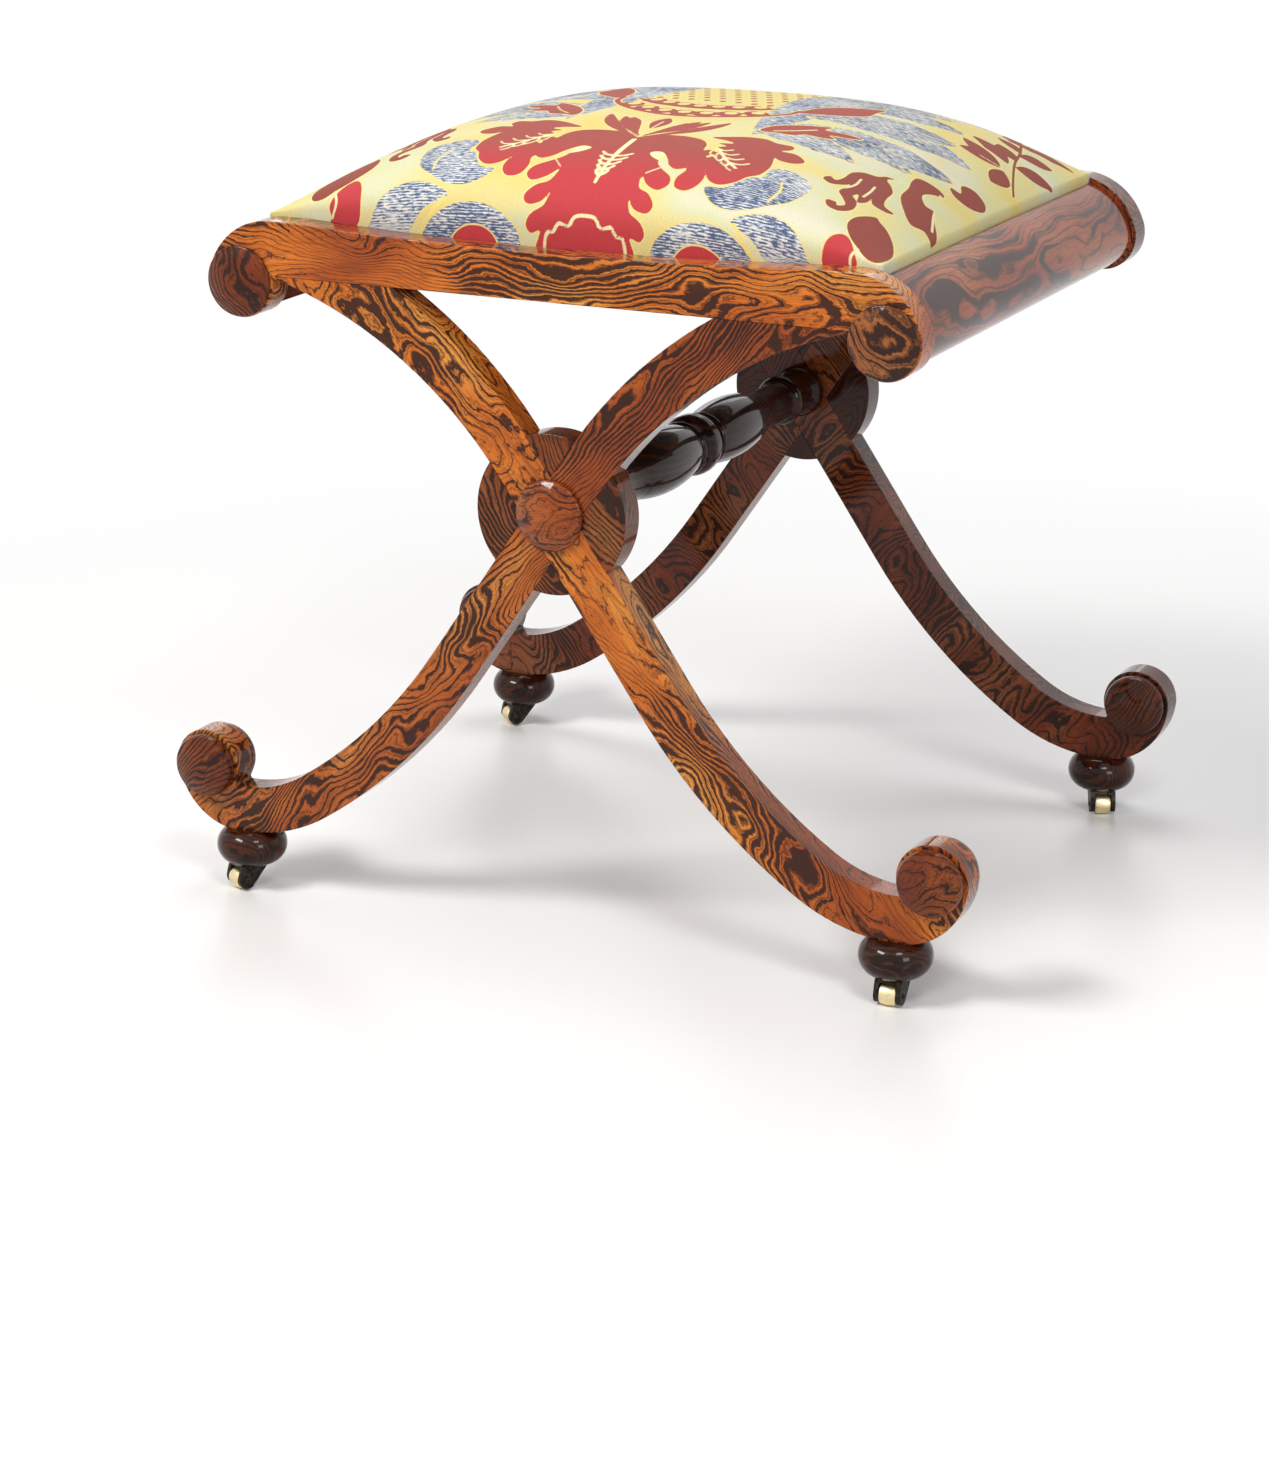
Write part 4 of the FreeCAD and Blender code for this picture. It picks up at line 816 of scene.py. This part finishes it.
def bowl(red, cream):
    """The spotted bowl of the big flower with its scalloped rim."""
    cream.patch([
        (12, -70), (38, -56), (58, -42), (70, -18), (68, 10), (56, 50), (50, 96), (48, 138), (12, 150),
        (-24, 138), (-26, 96), (-32, 50), (-44, 10), (-46, -18), (-34, -42), (-14, -56),
    ], steps=5, both=False)
    for first, pitch, lift in ((-40, 13.0, 0.0), (-19, 11.0, 0.5)):
        for n in range(-3, 4):
            middle = (MIDDLE + n * pitch, first + lift + 0.010 * (n * pitch) ** 2)
            red.shape(ring(middle, 7.4), both=False)
            red.shape(ring((middle[0], middle[1] + 2.2), 3.8), both=False, cut=True)
    red.line([(12, -49), (26, -47), (42, -40), (56, -29), (66, -14), (68, 0)], 3.4)
    red.line([(12, -25), (26, -23), (42, -17), (56, -4)], 2.6)
    for row in range(8):
        for n in range(-4 + row % 2, 4):
            spot = (MIDDLE + n * 10 + 5 * (row + 1) % 10, 4 + 11 * row)
            red.shape(ring(spot, 2.1, 1.5, steps=10), both=False)
    for n in range(-4, 5):
        red.leaf((MIDDLE + n * 8, 98), (MIDDLE + n * 10, 120), 6.0, both=False)
    red.line([(12, 126), (30, 124), (46, 118)], 3.0)


def side_sprigs(brown, vein):
    """The smaller sprigs and buds towards the ends of the seat."""
    brown.line([(142, 166), (158, 130), (166, 110), (174, 84), (186, 58), (194, 44)], 1.8)
    brown.leaf((160, 128), (143, 146), 13, bend=2, fullness=1.2)
    brown.leaf((166, 112), (146, 119), 12, bend=-2)
    brown.leaf((168, 104), (184, 124), 14, bend=3, fullness=1.2)
    brown.leaf((172, 92), (154, 103), 15, bend=2)
    brown.leaf((172, 78), (142, 88), 19, bend=-3, lobes=2, depth=0.2)
    brown.leaf((176, 82), (198, 100), 16, bend=2)
    brown.leaf((172, 66), (142, 72), 15, bend=2)
    brown.leaf((174, 64), (148, 52), 15, bend=-2)
    brown.leaf((176, 62), (180, 34), 15, bend=2)
    vein.line([(174, 64), (160, 58)], 1.3)
    brown.patch([
        (161, -38), (172, -33), (178, -36), (173, -46), (171, -56), (177, -64), (183, -62), (188, -72),
        (196, -84), (200, -98), (190, -92), (182, -98), (172, -88), (165, -76), (163, -60), (160, -48),
    ], steps=5)
    vein.line([(176, -38), (182, -50), (184, -64), (192, -84)], 1.8)
    brown.patch([
        (176, -4), (182, 4), (192, 2), (196, -8), (190, -20), (180, -24), (174, -18), (180, -14),
    ], steps=5)
    brown.patch([
        (160, -58), (154, -62), (152, -68), (157, -73), (161, -80), (162, -92), (165, -101), (172, -102),
        (168, -107), (160, -108), (157, -102), (157, -110), (154, -116), (152, -112), (150, -106),
        (148, -112), (144, -108), (142, -100), (140, -104), (134, -110), (128, -107), (130, -101),
        (134, -103), (136, -96), (136, -84), (140, -76), (147, -71), (150, -64), (156, -60),
    ], steps=5)
    vein.line([(143, -86), (144, -96), (143, -104)], 1.5)
    vein.line([(152, -86), (153, -96), (153, -106)], 1.5)
    brown.patch([
        (143, -106), (148, -111), (154, -118), (155, -128), (150, -136), (143, -136), (140, -130),
        (145, -128), (147, -131), (150, -126), (146, -120), (141, -114),
    ], steps=5)
    brown.patch([
        (167, -120), (160, -132), (159, -144), (164, -154), (170, -160), (178, -166), (186, -164),
        (190, -150), (186, -136), (178, -126), (171, -122),
    ], steps=5)


def blossoms(red, vein):
    """The crimson corner blossoms and the half rounds at the front edge."""
    red.patch([
        (160, -156), (166, -158), (172, -170), (170, -180), (176, -186), (186, -182), (196, -186),
        (200, -200), (184, -206), (166, -204), (156, -192), (152, -178), (154, -164),
    ], steps=5)
    vein.line([(170, -178), (168, -170), (172, -162)], 1.5)
    red.shape(ring((80, -202), 15.5))
    vein.line([(62, -206), (66, -193), (74, -186.5), (86, -186.5), (94, -193), (98, -206)], 2.2)


def rear(red, brown, blue, vein):
    """The leaves behind the bowl, and the fans and blossoms of the next repeat along the rear edge."""
    red.leaf((12, 142), (12, 196), 19, lobes=3, depth=0.25, both=False)
    red.leaf((19, 142), (50, 188), 19, bend=-5, lobes=3, depth=0.25)
    red.leaf((24, 136), (84, 172), 19, bend=-6, lobes=4, depth=0.25)
    for tip in ((12, 186), (42, 180), (72, 166)):
        vein.line([(MIDDLE + (tip[0] - MIDDLE) * 0.35, 148), tip], 1.6)
    blue.patch([
        (98, 160), (92, 176), (78, 190), (80, 206), (112, 208), (126, 190), (136, 176), (128, 162),
        (112, 156),
    ])
    blue.patch([(150, 150), (144, 170), (152, 190), (170, 198), (192, 190), (190, 172), (172, 158)])
    red.shape(ring((126, 200), 13.0))
    brown.leaf((150, 126), (188, 148), 17, bend=5, lobes=3, depth=0.25)
    brown.leaf((136, 152), (116, 128), 15, bend=4, lobes=2, depth=0.2)
    red.patch([(54, 112), (62, 126), (58, 140), (48, 134), (44, 120)])
    red.patch([(160, 172), (166, 184), (178, 186), (182, 176), (172, 168)])


# Leaves that scroll out from the bowl's side: base, tip, width and bend
SCROLLING_LEAVES = (
    ((62, 112), (84, 166), 31, 5),
    ((62, 88), (118, 142), 34, 7),
    ((64, 62), (132, 112), 36, 7),
    ((66, 36), (142, 80), 39, 8),
    ((70, 12), (150, 48), 41, -6),
    ((76, -12), (170, 26), 43, 9),
    ((78, -32), (174, -10), 40, -7),
    ((72, -50), (158, -42), 36, 9),
    ((64, -64), (132, -70), 30, 7),
)


def midpoint(base, tip, bend):
    """The middle of a leaf's bent spine."""
    base, tip = np.array(base, float), np.array(tip, float)
    return tuple((base + tip) / 2 + bend * sideways(tip - base))


def foliage(blue, gold):
    """The blue scrolling foliage, with golden lines where its leaves part."""
    blue.shape(ring((82, -198), 31, 0.78))
    blue.shape(ring((80, -204), 17), cut=True)
    blue.patch([
        (98, -171), (106, -165), (118, -162), (130, -164), (140, -172), (146, -186), (150, -204),
        (128, -206), (120, -190), (112, -178),
    ], steps=5)
    blue.patch([
        (76, -151), (86, -149), (92, -140), (96, -134), (102, -130), (101, -120), (108, -114),
        (120, -116), (128, -122), (129, -134), (124, -148), (114, -156), (104, -162), (92, -164),
        (82, -160),
    ], steps=5)
    gold.line([(114, -152), (116, -140), (113, -130)], 1.6)
    gold.line([(118, -206), (112, -188), (100, -172)], 2.6)
    blue.leaf((70, -74), (62, 152), 34)
    for base, tip, width, bend in SCROLLING_LEAVES:
        outline = leaf(base, tip, width, bend, lobes=3, depth=0.18)
        blue.shape(outline)
        gold.line(np.vstack([outline, outline[:1]]), 1.1, smooth=False)
        gold.line([base, midpoint(base, tip, bend), tip], 1.2)
    gold.line([(150, 2), (156, 6), (158, 0), (152, -4)], 1.6)


def pattern_depths(mesh):
    """Stores how deep each point of the cover lies in each colour of the pattern."""
    lengths = []
    for name in ("cloth_s", "cloth_t"):
        values = np.empty(len(mesh.vertices), dtype=np.float32)
        mesh.attributes[name].data.foreach_get("value", values)
        lengths.append(values)
    points = np.stack(lengths, axis=1).astype(float)
    layers = {name: Layer(points) for name in ("red", "brown", "vein", "blue", "gold", "cream")}
    flower(layers["red"], layers["vein"])
    spray(layers["red"], layers["vein"])
    bowl(layers["red"], layers["cream"])
    side_sprigs(layers["brown"], layers["vein"])
    blossoms(layers["red"], layers["vein"])
    foliage(layers["blue"], layers["gold"])
    rear(layers["red"], layers["brown"], layers["blue"], layers["vein"])
    for name, layer in layers.items():
        store(mesh, f"depth_{name}", layer.depth)


# The crimson weft of the edges gives way to brick red this far from the middle, over this run
CRIMSON_END = 152.0
CRIMSON_RUN = 40.0

# The weave, in millimetres: its hatched rows, its threads, and how jagged and soft its edges are
HATCH_PITCH = 1.7
THREAD_PITCH = 0.62
JAG_DEPTH = 0.9
EDGE_SOFTNESS = 0.16


class ClothGraph(Graph):
    """A material on the cover, by the cloth's own coordinates in millimetres."""

    def __init__(self, name):
        super().__init__(name)
        self.s, self.t = self.attribute("cloth_s"), self.attribute("cloth_t")
        self.flat = self.add("CombineXYZ", {0: self.s, 1: self.t, 2: 0.0})
        self.jag = self.minus(self.woven(2.2, 2.2, 1.0, 0.5), 0.5)

    def woven(self, along_s, along_t, detail, roughness):
        """Noise on the flat cloth, in cycles for each millimetre."""
        return self.noise(self.scaled(self.flat, (along_s, along_t, 1.0)), 1.0, detail, roughness)

    def inside(self, layer, grown=0.0):
        """1 inside a layer's shapes, which may be grown by a distance."""
        depth = self.plus(self.attribute(f"depth_{layer}"), self.times(self.jag, JAG_DEPTH))
        depth = self.plus(depth, grown)
        return self.math("ADD", self.times(depth, 1 / (2 * EDGE_SOFTNESS)), 0.5, clamp=True)


def cream_ground(g):
    """The drifting cream and yellow ground, the spotted bowl and the pale fringe of the leaves."""
    ground = g.ramp(g.woven(0.010, 0.016, 2.0, 0.5), [
        (0.34, rgb(232, 208, 122)), (0.46, rgb(228, 214, 148)),
        (0.56, rgb(218, 218, 176)), (0.66, rgb(228, 220, 196)),
    ])
    ground = g.mix(g.inside("cream"), ground, paint(rgb(228, 212, 138)))
    speck = g.ramp(g.woven(0.9, 0.9, 0.0, 0.5), [(0.60, 0.0), (0.64, 1.0)])
    spots = g.times(speck, g.inside("cream"))
    ground = g.mix(g.times(spots, 0.35), ground, paint(rgb(196, 176, 110)))
    fringe = g.times(g.inside("blue", grown=1.3), 0.55)
    return g.mix(fringe, ground, paint(rgb(240, 216, 120)))


def hatching(g):
    """Broken and clouded rows of weft that shade the blue leaves."""
    rows = g.times(g.t, 2 * math.pi / HATCH_PITCH)
    rows = g.math("SINE", g.plus(rows, g.times(g.jag, 4.0)))
    hatch = g.plus(g.woven(0.22, 0.9, 2.0, 0.6), g.times(rows, 0.085))
    cloud = g.minus(g.woven(0.03, 0.03, 1.0, 0.5), 0.5)
    return g.plus(hatch, g.times(cloud, 0.35))


def red_and_brown(g, colour):
    """The crimson flower and the russet sprigs with their pale outlines."""
    twill = g.woven(1.6, 1.6, 2.0, 0.6)
    from_end = g.plus(g.math("ABSOLUTE", g.t), -CRIMSON_END)
    fade = g.math("DIVIDE", from_end, -CRIMSON_RUN, clamp=True)
    crimson = g.mix(fade, paint(rgb(190, 40, 58)), paint(rgb(146, 60, 52)))
    crimson = g.mix(g.times(twill, 0.45), crimson, paint(rgb(206, 104, 92)))
    colour = g.mix(g.inside("red", grown=0.9), colour, paint(rgb(240, 222, 140)))
    colour = g.mix(g.inside("red"), colour, crimson)
    russet = g.mix(g.times(twill, 0.5), paint(rgb(132, 54, 44)), paint(rgb(170, 92, 76)))
    colour = g.mix(g.inside("brown", grown=0.8), colour, paint(rgb(240, 226, 150)))
    return g.mix(g.inside("brown"), colour, russet)


def damask(name):
    """The woven cover: shapes by their stored depths, and threads that cross under and over."""
    g = ClothGraph(name)
    hatch = hatching(g)
    blue = g.ramp(hatch, [
        (0.40, rgb(78, 90, 122)), (0.48, rgb(112, 126, 154)),
        (0.54, rgb(190, 196, 204)), (0.62, rgb(230, 229, 220)),
    ])
    colour = g.mix(g.inside("blue"), cream_ground(g), blue)
    colour = g.mix(g.inside("gold"), colour, paint(rgb(240, 218, 130)))
    colour = red_and_brown(g, colour)
    either = g.math("MAXIMUM", g.inside("red"), g.inside("brown"))
    colour = g.mix(g.times(g.inside("vein"), either), colour, paint(rgb(240, 230, 178)))

    rib = g.math("SINE", g.times(g.t, 2 * math.pi / THREAD_PITCH))
    warp = g.math("SINE", g.times(g.s, 2 * math.pi / THREAD_PITCH))
    thread = g.times(rib, warp)
    uneven = g.ramp(g.woven(1.1, 2.6, 2.0, 0.7), [(0.36, 0.45), (0.56, 1.0)])
    colour = g.mix(0.42, colour, uneven, "MULTIPLY")
    crossing = g.times(g.plus(thread, 1.0), 0.5)
    colour = g.mix(0.10, colour, g.ramp(crossing, [(0.0, 0.5), (1.0, 1.0)]), "MULTIPLY")
    height = g.plus(g.times(thread, 0.5), g.times(hatch, 0.6))
    height = g.plus(height, g.times(either, 0.8))
    cloth = {"Sheen_Weight": 0.04, "Sheen_Roughness": 0.35, "Specular_IOR_Level": 0.25}
    return g.finish(colour, 0.7, g.bump(height, 0.35, 0.0003), **cloth)


def cushion():
    """The stuffed and covered top of the drop-in seat."""
    seat, size = seat_shell("seat_cover", CROWN_REST)
    inflate(seat)
    s, t = cloth_lengths(seat.data, size)
    spread(seat.data, size, s, t)
    subdivide(seat, 2)
    line_with_cloth(seat.data)
    pattern_depths(seat.data)
    seat.data.materials.append(damask("damask"))
    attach(seat, "drop_in_seat")
    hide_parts("cover", "stuffing")


# Steps each way over a stretched sheet
SHEET_STEPS = 24


def cloth_panel(name, low, high, material, node, rise=0.0):
    """A stretched sheet with a little thickness. It may rise between its nailed edges."""
    shape = bmesh.new()
    middle = (low + high) / 2
    half = (high - low) / 2
    shares = [step / SHEET_STEPS * 2 - 1 for step in range(SHEET_STEPS + 1)]
    rims = []
    for level in (high.z, low.z):
        points = []
        for u in shares:
            heights = [level + rise * (1 - u**4) * (1 - v**4) for v in shares]
            x = middle.x + u * half.x
            points.append([shape.verts.new((x, middle.y + v * half.y, z)) for v, z in zip(shares, heights)])
        face_grid(shape, points)
        rims.append(rim_of(points))
    face_ring(shape, *rims)
    bmesh.ops.recalc_face_normals(shape, faces=shape.faces)
    made = shape_object(shape, name)
    made.data.shade_smooth()
    made.data.materials.append(material)
    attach(made, "drop_in_seat")
    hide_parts(node)


STRAP_WIDTH = 50.0 * MM
CROSS_STRAPS = (-0.62, 0.0, 0.62)
LONG_STRAPS = (-0.5, 0.5)


def straps():
    """The jute straps over the slip frame: three across it, and two along it on top of them."""
    jute = plain_weave("jute", rgb(176, 142, 98), rgb(116, 88, 56), 520.0)
    middle = (WEB_LOW.z + WEB_HIGH.z) / 2
    half = STRAP_WIDTH / 2
    for number, share in enumerate(CROSS_STRAPS):
        x = share * WEB_HIGH.x
        low = Vector((x - half, WEB_LOW.y, WEB_LOW.z))
        high = Vector((x + half, WEB_HIGH.y, middle))
        cloth_panel(f"cross_strap_{number}", low, high, jute, "seat_webbing")
    for number, share in enumerate(LONG_STRAPS):
        y = share * WEB_HIGH.y
        low = Vector((WEB_LOW.x, y - half, middle))
        high = Vector((WEB_HIGH.x, y + half, WEB_HIGH.z))
        cloth_panel(f"long_strap_{number}", low, high, jute, "seat_webbing")


# The dust cloth is drawn up a little between its tacks
DUST_RISE = 0.15 * MM


def linings():
    """The dust cloth under the slip frame, and the base cloth over the straps."""
    black = plain_weave("black_cotton", rgb(58, 54, 52), rgb(26, 24, 23), 900.0)
    hessian = plain_weave("hessian", rgb(196, 170, 126), rgb(140, 112, 74), 420.0)
    cloth_panel("dust_panel", DUST_LOW, DUST_HIGH, black, "dust_cloth", DUST_RISE)
    cloth_panel("base_panel", CLOTH_LOW, CLOTH_HIGH, hessian, "base_cloth")


# Lamps: place, aim, width and height in metres, power in watts and colour
WHITE = (1.0, 1.0, 1.0)
LAMPS = {
    "key": ((-1.05, -1.55, 1.95), (0.0, -0.1, 0.25), (1.0, 0.4), 43.0, (1.0, 0.98, 0.95)),
    "fill": ((1.9, -1.4, 0.9), (0.0, 0.0, 0.25), (0.7, 0.7), 12.0, WHITE),
    "edge": ((0.95, -1.15, 1.85), (0.1, 0.0, 0.2), (0.6, 0.4), 11.0, WHITE),
    "top": ((-0.2, 0.6, 2.4), (0.0, 0.0, 0.3), (1.2, 1.2), 19.0, WHITE),
    "sheen": ((-1.2, 2.4, 1.25), (0.0, 0.0, 0.35), (1.6, 0.9), 5.0, WHITE),
}

# The world's strength as light and as it is seen, and the floor's size and the run of its fade
WORLD_LIGHT = 0.24
WORLD_SEEN = 1.0
FLOOR_SIZE = 12.0
FLOOR_CENTRE = (0.05, -0.02, 0.0)
FLOOR_FADE = (0.42, 1.05)


def lamp(name, place, aim, size, power, colour):
    data = bpy.data.lights.new(name, "AREA")
    data.shape = "RECTANGLE"
    data.size, data.size_y = size
    data.energy = power
    data.color = colour
    made = add_object(name, data)
    made.location = place
    made.rotation_euler = (Vector(aim) - Vector(place)).to_track_quat("-Z", "Y").to_euler()


def looked_at(tree):
    """1 where the eye, a reflection or glass looks straight at the floor or the surround."""
    path = tree.nodes.new("ShaderNodeLightPath")
    seen = path.outputs["Is Camera Ray"]
    for ray in ("Is Glossy Ray", "Is Transmission Ray"):
        either = tree.nodes.new("ShaderNodeMath")
        either.operation = "MAXIMUM"
        tree.links.new(seen, either.inputs[0])
        tree.links.new(path.outputs[ray], either.inputs[1])
        seen = either.outputs[0]
    return seen


def pale_floor():
    """A pale floor that keeps the stool's shadow and fades to white away from it."""
    g = Graph("pale_floor")
    shade = g.noise(g.place(), 1.2, 2.0, 0.5)
    shade = g.ramp(shade, [(0.3, rgb(240, 239, 239)), (0.7, rgb(246, 245, 244))])
    material = g.finish(shade, 0.32, Specular_IOR_Level=0.2)
    away = g.add("VectorMath", {0: g.place(), 1: FLOOR_CENTRE}, out=1, operation="DISTANCE")
    near, far = FLOOR_FADE
    fade = g.math("DIVIDE", g.minus(away, near), far - near, clamp=True)
    white = g.add("Emission", {"Color": paint(WHITE), "Strength": 1.0})
    share = g.times(fade, looked_at(g.tree))
    mixed = g.add("MixShader", {0: share, 1: g.surface.outputs[0], 2: white})
    g.feed(g.tree.nodes["Material Output"].inputs["Surface"], mixed)
    return material


def surround():
    """The world: soft light of one strength, and white where it is looked at."""
    world = bpy.data.worlds.new("surround")
    world.use_nodes = True
    tree = world.node_tree
    background = tree.nodes["Background"]
    strength = tree.nodes.new("ShaderNodeMix")
    strength.data_type = "FLOAT"
    tree.links.new(looked_at(tree), strength.inputs["Factor"])
    strength.inputs["A"].default_value = WORLD_LIGHT
    strength.inputs["B"].default_value = WORLD_SEEN
    tree.links.new(strength.outputs["Result"], background.inputs["Strength"])
    background.inputs["Color"].default_value = paint(WHITE)
    bpy.context.scene.world = world


def studio():
    """Soft lamps round the stool, a pale floor and a white surround."""
    for name, settings in LAMPS.items():
        lamp(name, *settings)
    surround()
    bpy.context.scene.view_settings.view_transform = "Standard"
    bpy.ops.mesh.primitive_plane_add(size=FLOOR_SIZE)
    floor = bpy.context.object
    floor.name = "floor"
    floor.data.materials.append(pale_floor())


camera()
studio()
finish_boards()
finish_turnings()
finish_hidden_and_metal()
straps()
linings()
cushion()
